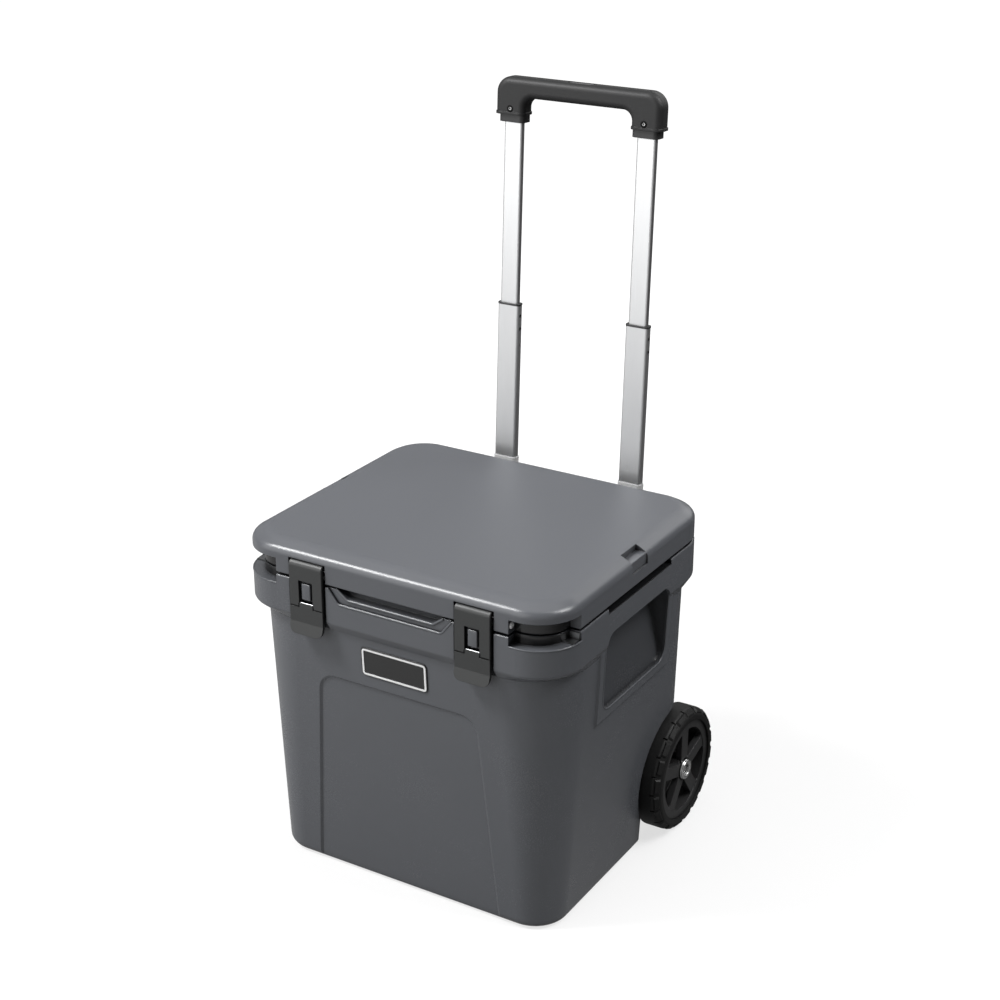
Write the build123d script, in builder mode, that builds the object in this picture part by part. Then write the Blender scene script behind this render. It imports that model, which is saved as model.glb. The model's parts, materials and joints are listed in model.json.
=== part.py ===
from build123d import *
import os
from math import cos, radians, sin, tan

os.makedirs("parts", exist_ok=True)

# Sizes are in millimetres. X runs across, -Y is the front with the latches, Z is up from the floor.

# Tub, outside
rim_width = 491.4
rim_depth = 424.0
rim_corner = 60.0
tub_height = 442.3
rim_band = 51.3
rim_flare = 13.0
side_overhang = 5.0
front_overhang = 8.7
rear_overhang = 4.7
side_draft = 2.98
front_draft = 3.28
rear_draft = 1.05
shoulder_corner = 84.0
foot_corner = 48.0
foot_edge = 12.0
shell_wall = 5.0
rim_land = 29.0
rim_edge = 6.0
rim_lip = 2.0

# Tub, inside
liner_wall = 3.0
liner_flange = 4.0
front_insulation = 50.0
rear_insulation = 48.0
floor_thickness = 42.0
cavity_corner = 40.0
cavity_draft = 2.2
fill_gap = 0.3

# Side handholds
handhold_y = 8.0
handhold_depth = 39.7
handhold_backing = 3.8
pocket_length = 178.0
pocket_low = 292.0
pocket_corner = 20.0
pocket_lip = 3.0
slot_length = 176.0
bar_height = 31.0
bar_thickness = 13.0
bar_drop = 6.3
apron_border = 17.0
apron_proud = 3.4
apron_bevel = 5.0
apron_setback = 1.2

# Front of the tub
panel_depth = 2.5
panel_top = 308.0
panel_top_half = 122.5
panel_foot_half = 148.0
panel_corner = 28.0
panel_slope = 55.0
scoop_depth = 16.0
scoop_drop = 11.3
scoop_top_half = 80.0
scoop_foot_half = 64.0
scoop_step = 3.0
scoop_border = 9.5
scoop_border_half = 15.0
recess_depth = 16.0
recess_drop = 12.3
recess_rise = 20.0
recess_run = 9.0
plate_thickness = 1.5
plate_length = 15.0
plate_gap = 0.2

# Lid
lid_gap = 3.0
lid_inset = 0.6
lid_skirt = 33.0
lid_crown = 10.0
lid_bevel = 18.4
lid_crease_corner = 44.0
lid_bullnose = 11.0
lid_crease = 24.0
lid_lip = 2.0
lid_land = 22.0
lid_rear_land = 36.0
lid_top_wall = 5.0
pan_rise = 0.7
plug_gap = 5.5
plug_depth = 18.0
gasket_width = 5.5
gasket_gap = 0.3
notch_y = 5.0
notch_width = 42.0
notch_depth = 9.0
channel_depth = 2.5
channel_drop = 15.0

# Lid hinge
hinge_inset = 18.0
hinge_rise = 18.7
hinge_rod_radius = 4.0
ear_radius = 10.0
ear_width = 36.0
ear_x = 138.0
ear_gap = 0.6
rod_overlap = 12.0
running_gap = 0.05

# Latches
latch_x = 127.0
latch_width = 52.0
latch_side_gap = 3.0
latch_pin_radius = 1.6
latch_barrel = 7.25
latch_barrel_gap = 1.1
latch_plate_thickness = 4.5
latch_pin_drop = 25.0
latch_pin_inset = 2.5
latch_pin_hold = 6.0
latch_drop = 57.0
window_width = 22.0
window_top_drop = 19.0
tab_pin_radius = 1.2
tab_pin_hold = 10.0
tab_gap = 0.8
tongue_width = 21.0
tab_clip = 0.4
tab_length = 38.0
tab_flare = 4.0
tab_flare_height = 16.0
tab_corner = 10.0
keeper_width = 18.0
keeper_gap = 0.5
keeper_height = 26.0
keeper_drop = 1.0
latch_recess = 8.2
latch_edge = 1.2

# Wheels and axle
wheel_radius = 90.0
wheel_inset = 53.6
wheel_proud = 6.3
tyre_width = 46.0
tyre_thickness = 16.5
tread_shoulder = 9.5
tread_round = 5.0
tread_grooves = 20
groove_width = 2.6
groove_depth = 2.6
hub_wall = 12.0
hub_web = 3.0
hub_spokes = 5
spoke_width = 19.0
spoke_thickness = 9.0
spoke_setback = 1.0
spoke_root = 4.0
hub_boss = 20.0
hub_setback = 3.0
bush_wall = 2.5
bush_proud = 0.4
axle_radius = 7.0
bolt_head_radius = 15.0
bolt_head = 4.5
bolt_room = 1.5
bolt_inset = 0.4
bolt_shank = 3.5
bolt_reach = 20.0
bolt_socket = 8.5
end_play = 0.5
well_gap = 7.0
well_inner_gap = 6.0
tunnel_run = 84.4
tunnel_top = 114.0
tunnel_corner = 25.0
step_wall = 22.0
bracket_width = 30.0
bracket_inset = 28.0
bracket_length = 44.0
bracket_wall = 11.0
spacer_wall = 4.0

# Telescopic handle, measured along the raked tubes from floor level
handle_rake = 2.5
tube_x = 103.0
tube_setback = 37.4
outer_size = (40.0, 19.0)
outer_wall = 1.5
mid_size = (34.0, 13.5)
inner_size = (28.5, 10.0)
tube_wall = 1.2
tube_corner = 3.5
least_corner = 0.8
slide_gap = 0.3
seat_gap = 0.1
housing_drop = 12.3
housing_low = 104.0
housing_wall = 13.0
housing_back_wall = 5.0
housing_corner = 16.0
housing_tail = 18.0
housing_panel_depth = 9.0
housing_screw_radius = 4.0
screw_bite = 3.5
bezel_thickness = 4.0
outer_tube_low = 110.0
mouth_rise = 39.5
mouth_neck = 12.0
mouth_flange = 7.0
mouth_wall = 1.3
mid_overlap = 54.0
mid_tube_top = 698.5
glide_height = 30.0
collar_height = 2.5
collar_wall = 0.6
lock_hole_radius = 2.6
lock_hole_drops = (15.5, 34.5)
spring_hole_radius = 1.3
spring_hole_drop = 58.5
inner_glide_height = 22.0
inner_spigot = 20.0
lock_pin_radius = 2.0
lock_pin_length = 9.0
inner_tube_drop = 25.0
grip_leg = 51.2
grip_collar_height = 10.5
grip_collar_size = (40.5, 24.0)
grip_collar_corner = 8.0
grip_half_width = 127.4
grip_leg_inner = 82.0
grip_top = 1020.7
grip_bar = 27.6
grip_depth = 29.0
grip_outer_corner = 22.0
grip_inner_corner = 14.0
grip_edge = 9.0
grip_lip = 1.2
grip_lip_height = 3.5
grip_screw_radius = 3.6
grip_screw_rise = 8.5
button_length = 40.0
button_width = 13.0
button_sink = 1.0
button_travel = 4.0
button_gap = 0.4
yoke_height = 5.0
yoke_width = 9.0
yoke_roof = 11.0
rod_radius = 2.0

far = 600.0

# Heights and faces that follow from the sizes above
rim_half = rim_width / 2
rim_front = -rim_depth / 2
rim_rear = rim_depth / 2
hinge_y = rim_rear - hinge_inset
wheel_y = rim_rear - wheel_inset
tunnel_front = wheel_y - tunnel_run
rim_low = tub_height - rim_band
shoulder = rim_low - rim_flare
shoulder_half = rim_half - side_overhang
shoulder_front = rim_front + front_overhang
shoulder_rear = rim_rear - rear_overhang
foot_half = shoulder_half - shoulder * tan(radians(side_draft))
foot_front = shoulder_front + shoulder * tan(radians(front_draft))
foot_rear = shoulder_rear - shoulder * tan(radians(rear_draft))
pocket_back = rim_half - handhold_depth
bar_top = tub_height - bar_drop
bar_low = bar_top - bar_height
cavity_half = pocket_back - shell_wall - handhold_backing - liner_wall
cavity_front = rim_front + front_insulation
cavity_rear = rim_rear - rear_insulation
lid_low = tub_height + lid_gap
lid_half = rim_half - lid_inset
lid_front = rim_front + lid_inset
lid_rear = rim_rear - lid_inset
lid_shoulder = lid_low + lid_skirt
lid_top = lid_shoulder + lid_crown
hinge_z = lid_low + hinge_rise
wheel_face = rim_half + wheel_proud
well_inner = wheel_face - tyre_width - well_inner_gap
bracket_x = well_inner - bracket_inset
housing_top = tub_height - housing_drop
mid_tube_low = housing_top - mid_overlap
inner_tube_low = mid_tube_top - lock_hole_drops[1] + inner_glide_height / 2
inner_tube_top = grip_top - inner_tube_drop
leg_low = grip_top - grip_leg
mouth_top = housing_top + mouth_rise
mouth_low = mouth_top - mouth_neck - mouth_flange
grip_collar_low = leg_low - grip_collar_height
hub_radius = wheel_radius - tyre_thickness
pin_z = lid_top - latch_pin_drop
pin_y = lid_front + latch_pin_inset
plate_front = pin_y - latch_barrel
plate_back = plate_front + latch_plate_thickness
plate_low = pin_z - latch_drop
tab_pin_y = plate_front + latch_plate_thickness / 2
tab_pin_z = plate_low + latch_plate_thickness + tab_gap
keeper_top = tub_height - keeper_drop
handle_y = rim_rear + tube_setback - tub_height * tan(radians(handle_rake))
wheel_axis = Axis((0, wheel_y, wheel_radius), (1, 0, 0))


# Width of the drafted side wall at a given height
def wall_half(height):
    return foot_half + height * tan(radians(side_draft))


# Rear wall of the tub at a given height
def wall_rear(height):
    return foot_rear + height * tan(radians(rear_draft))


# Rounded rectangle seen from above, at a given height
def plan(height, half_width, front, rear, corner):
    with BuildSketch(Plane.XY.offset(height)) as outline:
        with Locations((0, (front + rear) / 2)):
            RectangleRounded(2 * half_width, rear - front, corner)
    return outline.sketch


# Rim outline drawn in by a given amount
def rim_plan(height, inset):
    return plan(height, rim_half - inset, rim_front + inset, rim_rear - inset, rim_corner - inset)


# Frame of one handle tube: Z along the raked tube, X across
def tube_plane(side, along=0.0):
    up = (0, sin(radians(handle_rake)), cos(radians(handle_rake)))
    return Plane(origin=(side * tube_x, handle_y, 0), x_dir=(1, 0, 0), z_dir=up).offset(along)


# Tube section grown or shrunk all round
def tube_section(side, along, size, grow=0.0):
    with BuildSketch(tube_plane(side, along)) as outline:
        RectangleRounded(size[0] + 2 * grow, size[1] + 2 * grow, max(tube_corner + grow, least_corner))
    return outline.sketch


# Space of one side handhold; grown, it is the space that the wall behind it also takes
def handhold_space(grow):
    with BuildPart() as space:
        with BuildSketch(Plane.YZ.offset(pocket_back - grow)):
            with Locations((handhold_y, (pocket_low + bar_low) / 2)):
                RectangleRounded(
                    pocket_length + 2 * grow, bar_low - pocket_low + 2 * grow, pocket_corner + grow
                )
        extrude(amount=far)
        with BuildSketch(Plane.XZ):
            with BuildLine():
                lip = wall_half(pocket_low) - pocket_lip - grow
                Polyline(
                    (pocket_back - grow, far),
                    (pocket_back - grow, bar_low),
                    (lip, pocket_low - grow),
                    (far, pocket_low - grow),
                    (far, far),
                    close=True,
                )
            make_face()
        extrude(amount=far, both=True, mode=Mode.INTERSECT)
        bar_back = rim_half - bar_thickness if grow == 0 else far
        with BuildSketch(Plane.XY.offset(bar_low - pocket_corner - grow)):
            with Locations(((pocket_back - grow + bar_back) / 2, handhold_y)):
                Rectangle(bar_back - pocket_back + grow, slot_length + 2 * grow)
        extrude(amount=far)
        with BuildSketch(Plane.XY.offset(bar_top)):
            with Locations(((pocket_back - grow + far) / 2, handhold_y)):
                Rectangle(far - pocket_back + grow, slot_length + 2 * grow)
        extrude(amount=far)
        mirror(about=Plane.YZ)
    return space.part


# Wheel wells and the tunnel for the axle; grown, it includes the wall around them
def wheel_space(grow):
    with BuildPart() as space:
        with BuildSketch(Plane.YZ.offset(well_inner - grow)):
            with Locations((wheel_y, wheel_radius)):
                Circle(wheel_radius + well_gap + grow)
        extrude(amount=far)
        mirror(about=Plane.YZ)
        with BuildSketch(Plane.YZ) as tunnel:
            with Locations((tunnel_front - grow, tunnel_top + grow)):
                Rectangle(far, far, align=(Align.MIN, Align.MAX))
            fillet(tunnel.vertices().group_by(Axis.Y)[-1].sort_by(Axis.X)[0], tunnel_corner + grow)
        extrude(amount=far, both=True)
    return space.part


# Recess round both front corners, from a low to a high level
def corner_space(low, high, depth):
    with BuildPart() as space:
        with BuildSketch(Plane.XY.offset(low)):
            start_x = rim_half - rim_corner - recess_run
            end_y = rim_front + rim_corner
            with Locations((start_x, end_y)):
                Rectangle(far, far, align=(Align.MIN, Align.MAX))
            RectangleRounded(
                2 * (rim_half - depth), rim_depth - 2 * depth, rim_corner - depth, mode=Mode.SUBTRACT
            )
        extrude(amount=high - low)
        mirror(about=Plane.YZ)
    return space.part


# Upright slab across the latch positions, cut out of the lid and the rim
def latch_boxes(half_width, front, back, low, high):
    with BuildPart() as boxes:
        with BuildSketch(Plane.XY.offset(low)):
            with Locations((latch_x, (front + back) / 2), (-latch_x, (front + back) / 2)):
                Rectangle(2 * half_width, back - front)
        extrude(amount=high - low)
    return boxes.part


# Space between shell and cavity, held back from the shell wall by a gap
def filling_space(gap):
    inset = shell_wall + gap
    with BuildPart() as space:
        loft(
            [
                plan(inset, foot_half - inset, foot_front + inset, foot_rear - inset, foot_corner - inset),
                plan(shoulder - gap, shoulder_half - inset, shoulder_front + inset, shoulder_rear - inset,
                     shoulder_corner - inset),
            ],
            ruled=True,
        )
        extrude(rim_plan(shoulder - gap, rim_land + gap), amount=rim_band + rim_flare + gap)
        add(handhold_space(inset), mode=Mode.SUBTRACT)
        add(wheel_space(inset), mode=Mode.SUBTRACT)
    return space.part


# Cold space inside the liner, with the step over the axle tunnel; grown, it is the outside of the liner
def cavity_space(grow):
    draw = (tub_height - floor_thickness) * tan(radians(cavity_draft))
    with BuildPart() as space:
        loft(
            [
                plan(floor_thickness - grow, cavity_half - draw + grow, cavity_front + draw - grow,
                     cavity_rear - draw + grow, cavity_corner + grow),
                plan(tub_height, cavity_half + grow, cavity_front - grow, cavity_rear + grow,
                     cavity_corner + grow),
            ],
            ruled=True,
        )
        with BuildSketch(Plane.YZ):
            with Locations((tunnel_front - step_wall + grow, tunnel_top + step_wall - grow)):
                Rectangle(far, far, align=(Align.MIN, Align.MAX))
        extrude(amount=far, both=True, mode=Mode.SUBTRACT)
    return space.part


# Face of the handle seen from the front: X across, local Y along the tubes
rake_sin = sin(radians(handle_rake))
rake_cos = cos(radians(handle_rake))
housing_half = tube_x + outer_size[0] / 2 + housing_wall
housing_back = outer_size[1] / 2 + housing_back_wall
tail_top = housing_low + housing_tail
back_half = tube_x - outer_size[0] / 2 - housing_wall
back_low = tail_top + housing_tail
back_high = housing_top - housing_tail
screw_x = back_half - 2 * housing_screw_radius
screw_heights = (back_low + housing_tail, shoulder - housing_tail)
screw_spots = [(x, z) for x in (-screw_x, screw_x) for z in screw_heights]
handle_face = Plane(origin=(0, handle_y, 0), x_dir=(1, 0, 0), z_dir=(0, -rake_cos, rake_sin))


# Centre of the tubes at a given height
def tube_y(height):
    return handle_y + height * tan(radians(handle_rake))


# Shanks of the column screws, from the hollow back through the column into the rear wall;
# grown, their eight-sided pilot holes
def screw_shanks(grow):
    with BuildPart() as shanks:
        for spot in screw_spots:
            start = tube_y(spot[1]) + housing_back - housing_panel_depth
            with BuildSketch(handle_face.offset(housing_panel_depth - housing_back)):
                with Locations(spot):
                    if grow > 0:
                        RegularPolygon(housing_screw_radius / 2 + grow, 8, major_radius=False)
                    else:
                        Circle(housing_screw_radius / 2)
            extrude(amount=start - wall_rear(spot[1]) + screw_bite + grow)
    return shanks.part


# Outer form of the tub
with BuildPart() as tub_form:
    foot = plan(0, foot_half, foot_front, foot_rear, foot_corner)
    brow = plan(shoulder, shoulder_half, shoulder_front, shoulder_rear, shoulder_corner)
    loft([foot, brow], ruled=True)
    fillet(tub_form.edges().group_by(Axis.Z)[0], foot_edge)
    loft([brow, rim_plan(rim_low, 0)], ruled=True)
    extrude(rim_plan(rim_low, 0), amount=rim_band)
    fillet(tub_form.edges().filter_by_position(Axis.Z, rim_low - 0.1, rim_low + 0.1), rim_edge)
    fillet(tub_form.edges().group_by(Axis.Z)[-1], rim_lip)

# Raised frame round each handhold
with BuildPart() as aprons:
    apron_low = pocket_low - apron_border
    with BuildSketch(Plane.XZ.offset(-handhold_y)):
        with BuildLine():
            Polyline(
                (pocket_back, apron_low),
                (wall_half(apron_low) + apron_proud, apron_low),
                (rim_half - apron_setback, bar_low),
                (pocket_back, bar_low),
                close=True,
            )
        make_face()
    extrude(amount=pocket_length / 2 + apron_border, both=True)
    chamfer(aprons.faces().sort_by(Axis.X)[-1].edges().sort_by(Axis.Z)[:3], apron_bevel)
    mirror(about=Plane.YZ)

# Tub shell
with BuildPart() as tub_shell:
    add(tub_form.part)
    add(aprons.part)
    add(handhold_space(0), mode=Mode.SUBTRACT)
    add(wheel_space(0), mode=Mode.SUBTRACT)
    add(corner_space(tub_height - recess_drop, far, recess_depth), mode=Mode.SUBTRACT)
    # Latch recesses through the rim, with the keeper blocks standing in them
    add(
        latch_boxes(latch_width / 2 + latch_side_gap, -far, rim_front + latch_recess, shoulder, far),
        mode=Mode.SUBTRACT,
    )
    keeper_front = plate_back + keeper_gap
    add(latch_boxes(keeper_width / 2, keeper_front, rim_front + rim_land / 2, keeper_top - keeper_height,
                    keeper_top))
    # Finger scoop in the rim between the latches, with a stepped border
    for half_top, half_foot, drop, depth in (
        (scoop_top_half + scoop_border_half, scoop_foot_half + scoop_border_half, scoop_drop + scoop_border,
         scoop_step),
        (scoop_top_half, scoop_foot_half, scoop_drop, scoop_depth),
    ):
        with BuildSketch(Plane.XZ.offset(-rim_front - depth)) as scoop:
            with BuildLine():
                Polyline(
                    (-half_top, tub_height),
                    (-half_foot, tub_height - drop),
                    (half_foot, tub_height - drop),
                    (half_top, tub_height),
                    close=True,
                )
            make_face()
            fillet(scoop.vertices().group_by(Axis.Y)[0], scoop_border)
        extrude(amount=far, mode=Mode.SUBTRACT)
    # Shallow panel in the front wall, down to the foot
    outward = (0, -cos(radians(front_draft)), -sin(radians(front_draft)))
    with BuildSketch(Plane(origin=(0, foot_front, 0), x_dir=(1, 0, 0), z_dir=outward)) as panel:
        with BuildLine():
            Polyline(
                (-panel_foot_half, -foot_edge),
                (-panel_top_half, panel_top),
                (panel_top_half, panel_top),
                (panel_foot_half, -foot_edge),
                close=True,
            )
        make_face()
        fillet(panel.vertices().group_by(Axis.Y)[-1], panel_corner)
    extrude(amount=-panel_depth, taper=panel_slope, mode=Mode.SUBTRACT)
    add(filling_space(0), mode=Mode.SUBTRACT)
    add(screw_shanks(seat_gap), mode=Mode.SUBTRACT)
    # Hinge ears on the rear of the rim
    ear_start = ear_x - ear_width / 2
    with BuildSketch(Plane.YZ.offset(ear_start), Plane.YZ.offset(-ear_start - ear_width)):
        with Locations((hinge_y, hinge_z)):
            Circle(ear_radius)
        with Locations((hinge_y, hinge_z)):
            Rectangle(2 * ear_radius, hinge_rise + lid_gap + rim_band / 2, align=(Align.CENTER, Align.MAX))
    extrude(amount=ear_width)
    with BuildSketch(Plane.YZ):
        with Locations((hinge_y, hinge_z)):
            Circle(hinge_rod_radius + running_gap)
    extrude(amount=far, both=True, mode=Mode.SUBTRACT)
tub_shell.part.label = "tub_shell"
export_step(tub_shell.part, "parts/tub_shell.step")

# Liner
with BuildPart() as tub_liner:
    extrude(rim_plan(tub_height - liner_flange, rim_land + fill_gap), amount=liner_flange)
    add(handhold_space(shell_wall + fill_gap), mode=Mode.SUBTRACT)
    add(cavity_space(liner_wall))
    add(cavity_space(0), mode=Mode.SUBTRACT)
tub_liner.part.label = "tub_liner"
export_step(tub_liner.part, "parts/tub_liner.step")

# Foam between shell and liner
with BuildPart() as tub_foam:
    add(filling_space(fill_gap))
    with BuildSketch(Plane.XY.offset(tub_height - liner_flange - fill_gap)):
        Rectangle(far, far)
    extrude(amount=far, mode=Mode.SUBTRACT)
    add(cavity_space(liner_wall + fill_gap), mode=Mode.SUBTRACT)
tub_foam.part.label = "tub_foam"
export_step(tub_foam.part, "parts/tub_foam.step")

# Steel angles at the side end of both corner recesses: a foot on the floor and an upright lip
with BuildPart() as corner_plates:
    recess_floor = tub_height - recess_drop
    plate_y = rim_front + rim_corner
    with BuildSketch(Plane.YZ):
        with Locations((plate_y, recess_floor)):
            Rectangle(plate_length, plate_thickness, align=(Align.MAX, Align.MIN))
            Rectangle(plate_thickness, recess_drop - rim_lip, align=(Align.MAX, Align.MIN))
    extrude(amount=rim_half - rim_lip, both=True)
    add(corner_space(recess_floor, far, recess_depth - plate_gap), mode=Mode.INTERSECT)
corner_plates.part.label = "corner_plates"
export_step(corner_plates.part, "parts/corner_plates.step")

# Hinge rod
rod_half = ear_x + ear_width / 2 + rod_overlap
with BuildPart() as hinge_rod:
    with BuildSketch(Plane.YZ):
        with Locations((hinge_y, hinge_z)):
            Circle(hinge_rod_radius)
    extrude(amount=rod_half - ear_gap, both=True)
hinge_rod.part.label = "hinge_rod"
export_step(hinge_rod.part, "parts/hinge_rod.step")


# Lid outline drawn in by a given amount, more at the rear
def lid_plan(height, inset, rear_inset, corner):
    return plan(height, lid_half - inset, lid_front + inset, lid_rear - rear_inset, corner)


# Outline of the cavity mouth drawn in or out
def mouth_plan(height, grow):
    return plan(height, cavity_half + grow, cavity_front - grow, cavity_rear + grow, cavity_corner + grow)


# Lid shell: skirt, rolled shoulder and flat top
lid_ceiling = lid_top - lid_top_wall
lid_corner = rim_corner - lid_inset
with BuildPart() as lid_shell:
    extrude(lid_plan(lid_low, 0, 0, lid_corner), amount=lid_skirt)
    loft(
        [
            lid_plan(lid_shoulder, 0, 0, lid_corner),
            lid_plan(lid_top, lid_bevel, lid_bevel, lid_crease_corner),
        ],
        ruled=True,
    )
    fillet(lid_shell.edges().filter_by_position(Axis.Z, lid_shoulder - 0.1, lid_shoulder + 0.1), lid_bullnose)
    fillet(lid_shell.edges().group_by(Axis.Z)[-1], lid_crease)
    fillet(lid_shell.edges().group_by(Axis.Z)[0], lid_lip)
    extrude(
        lid_plan(lid_low, lid_land, lid_rear_land, rim_corner - lid_land),
        amount=lid_ceiling - lid_low,
        mode=Mode.SUBTRACT,
    )
    # Rear lower edge rolled about the hinge axis
    with BuildSketch(Plane.YZ):
        with Locations((hinge_y, hinge_z)):
            Rectangle(far, far, align=(Align.MIN, Align.MAX))
            Circle(hinge_rise, mode=Mode.SUBTRACT)
    extrude(amount=far, both=True, mode=Mode.SUBTRACT)
    # Clearance for the hinge ears, and the bore for the rod
    ear_reach = ear_radius + ear_gap
    ear_slot = ear_width + 2 * ear_gap
    with BuildSketch(Plane.YZ.offset(ear_x - ear_slot / 2), Plane.YZ.offset(-ear_x - ear_slot / 2)):
        with Locations((hinge_y - ear_reach, hinge_z + ear_reach)):
            Rectangle(far, far, align=(Align.MIN, Align.MAX))
    extrude(amount=ear_slot, mode=Mode.SUBTRACT)
    with BuildSketch(Plane.YZ):
        with Locations((hinge_y, hinge_z)):
            Circle(hinge_rod_radius + running_gap)
    extrude(amount=rod_half, both=True, mode=Mode.SUBTRACT)
    # Corner recesses and latch recesses
    add(corner_space(lid_low, lid_low + recess_rise, recess_depth), mode=Mode.SUBTRACT)
    slot_width = latch_width + 2 * latch_side_gap
    barrel_space = latch_barrel + latch_barrel_gap
    with BuildSketch(Plane.YZ.offset(latch_x - slot_width / 2), Plane.YZ.offset(-latch_x - slot_width / 2)):
        with Locations((pin_y, pin_z)):
            Circle(barrel_space)
            Rectangle(far, barrel_space, align=(Align.MAX, Align.MIN))
        with Locations((pin_y + barrel_space, pin_z)):
            Rectangle(far, far, align=(Align.MAX, Align.MAX))
    extrude(amount=slot_width, mode=Mode.SUBTRACT)
    pin_space = slot_width + 2 * latch_pin_hold
    with BuildSketch(Plane.YZ.offset(latch_x - pin_space / 2), Plane.YZ.offset(-latch_x - pin_space / 2)):
        with Locations((pin_y, pin_z)):
            Circle(latch_pin_radius + running_gap)
    extrude(amount=pin_space, mode=Mode.SUBTRACT)
    # Strap notches in the side edges, each with a shallow channel below
    notch_low = lid_top - notch_depth
    for reach, low in ((lid_bevel, notch_low), (channel_depth, notch_low - channel_drop)):
        with BuildSketch(Plane.XY.offset(low)):
            for side in (-1, 1):
                with Locations((side * (lid_half - reach + far / 2), notch_y)):
                    Rectangle(far, notch_width)
        extrude(amount=far, mode=Mode.SUBTRACT)
lid_shell.part.label = "lid_shell"
export_step(lid_shell.part, "parts/lid_shell.step")

# Lid liner: a pan with a plug that drops into the cavity
pan_low = lid_low + pan_rise
plug_low = tub_height - plug_depth
with BuildPart() as lid_liner:
    extrude(
        lid_plan(pan_low, lid_land + fill_gap, lid_rear_land + fill_gap, rim_corner - lid_land - fill_gap),
        amount=liner_wall,
    )
    extrude(mouth_plan(plug_low, -plug_gap), amount=pan_low - plug_low)
    extrude(
        mouth_plan(plug_low + liner_wall, -plug_gap - liner_wall),
        amount=pan_low - plug_low,
        mode=Mode.SUBTRACT,
    )
lid_liner.part.label = "lid_liner"
export_step(lid_liner.part, "parts/lid_liner.step")

# Lid foam
pan_top = pan_low + liner_wall + fill_gap
foam_inset = lid_land + fill_gap
with BuildPart() as lid_foam:
    extrude(
        lid_plan(pan_top, foam_inset, lid_rear_land + fill_gap, rim_corner - foam_inset),
        amount=lid_ceiling - fill_gap - pan_top,
    )
    plug_foam_low = plug_low + liner_wall + fill_gap
    extrude(mouth_plan(plug_foam_low, -plug_gap - liner_wall - fill_gap), amount=pan_top - plug_foam_low)
lid_foam.part.label = "lid_foam"
export_step(lid_foam.part, "parts/lid_foam.step")

# Lid gasket, a ring just clear of the liner flange
with BuildPart() as lid_gasket:
    gasket_low = tub_height + gasket_gap
    extrude(mouth_plan(gasket_low, liner_wall + gasket_width), amount=pan_low - gasket_low)
    extrude(mouth_plan(gasket_low, liner_wall), amount=pan_low - gasket_low, mode=Mode.SUBTRACT)
lid_gasket.part.label = "lid_gasket"
export_step(lid_gasket.part, "parts/lid_gasket.step")

# Latch pin, held in the lid at both ends
with BuildPart() as right_latch_pin:
    with BuildSketch(Plane.YZ.offset(latch_x)):
        with Locations((pin_y, pin_z)):
            Circle(latch_pin_radius)
    extrude(amount=pin_space / 2 - plate_gap, both=True)
right_latch_pin.part.label = "right_latch_pin"
export_step(right_latch_pin.part, "parts/right_latch_pin.step")

with BuildPart() as left_latch_pin:
    mirror(right_latch_pin.part, about=Plane.YZ)
left_latch_pin.part.label = "left_latch_pin"
export_step(left_latch_pin.part, "parts/left_latch_pin.step")

# Latch plate with a barrel on the pin and an open slot for keeper and tab
with BuildPart() as right_latch_plate:
    with BuildSketch(Plane.YZ.offset(latch_x)):
        with Locations((pin_y, pin_z)):
            Circle(latch_barrel)
        with Locations((plate_front, plate_low)):
            Rectangle(latch_plate_thickness, pin_z - plate_low, align=(Align.MIN, Align.MIN))
    extrude(amount=latch_width / 2, both=True)
    with BuildSketch(Plane.YZ.offset(latch_x)):
        with Locations((pin_y, pin_z)):
            Circle(latch_pin_radius + running_gap)
    extrude(amount=latch_width, both=True, mode=Mode.SUBTRACT)
    with BuildSketch(Plane.XZ):
        with Locations((latch_x, pin_z - window_top_drop)):
            Rectangle(window_width, latch_drop, align=(Align.CENTER, Align.MAX))
    extrude(amount=far, mode=Mode.SUBTRACT)
    with BuildSketch(Plane.YZ.offset(latch_x)):
        with Locations((tab_pin_y, tab_pin_z)):
            Circle(tab_pin_radius + running_gap)
    extrude(amount=window_width / 2 + tab_pin_hold, both=True, mode=Mode.SUBTRACT)
    plate_ends = right_latch_plate.faces().filter_by(Axis.X).sort_by(Axis.X)
    rims = (plate_ends[0].edges() + plate_ends[-1].edges()).filter_by_position(Axis.Y, -far, pin_y)
    fillet(rims.filter_by_position(Axis.Z, (plate_low + pin_z) / 2 - 1, far), latch_edge)
right_latch_plate.part.label = "right_latch_plate"
export_step(right_latch_plate.part, "parts/right_latch_plate.step")

with BuildPart() as left_latch_plate:
    mirror(right_latch_plate.part, about=Plane.YZ)
left_latch_plate.part.label = "left_latch_plate"
export_step(left_latch_plate.part, "parts/left_latch_plate.step")

# Pin of the pull tab
with BuildPart() as right_tab_pin:
    with BuildSketch(Plane.YZ.offset(latch_x)):
        with Locations((tab_pin_y, tab_pin_z)):
            Circle(tab_pin_radius)
    extrude(amount=window_width / 2 + tab_pin_hold - plate_gap, both=True)
right_tab_pin.part.label = "right_tab_pin"
export_step(right_tab_pin.part, "parts/right_tab_pin.step")

with BuildPart() as left_tab_pin:
    mirror(right_tab_pin.part, about=Plane.YZ)
left_tab_pin.part.label = "left_tab_pin"
export_step(left_tab_pin.part, "parts/left_tab_pin.step")

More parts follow.
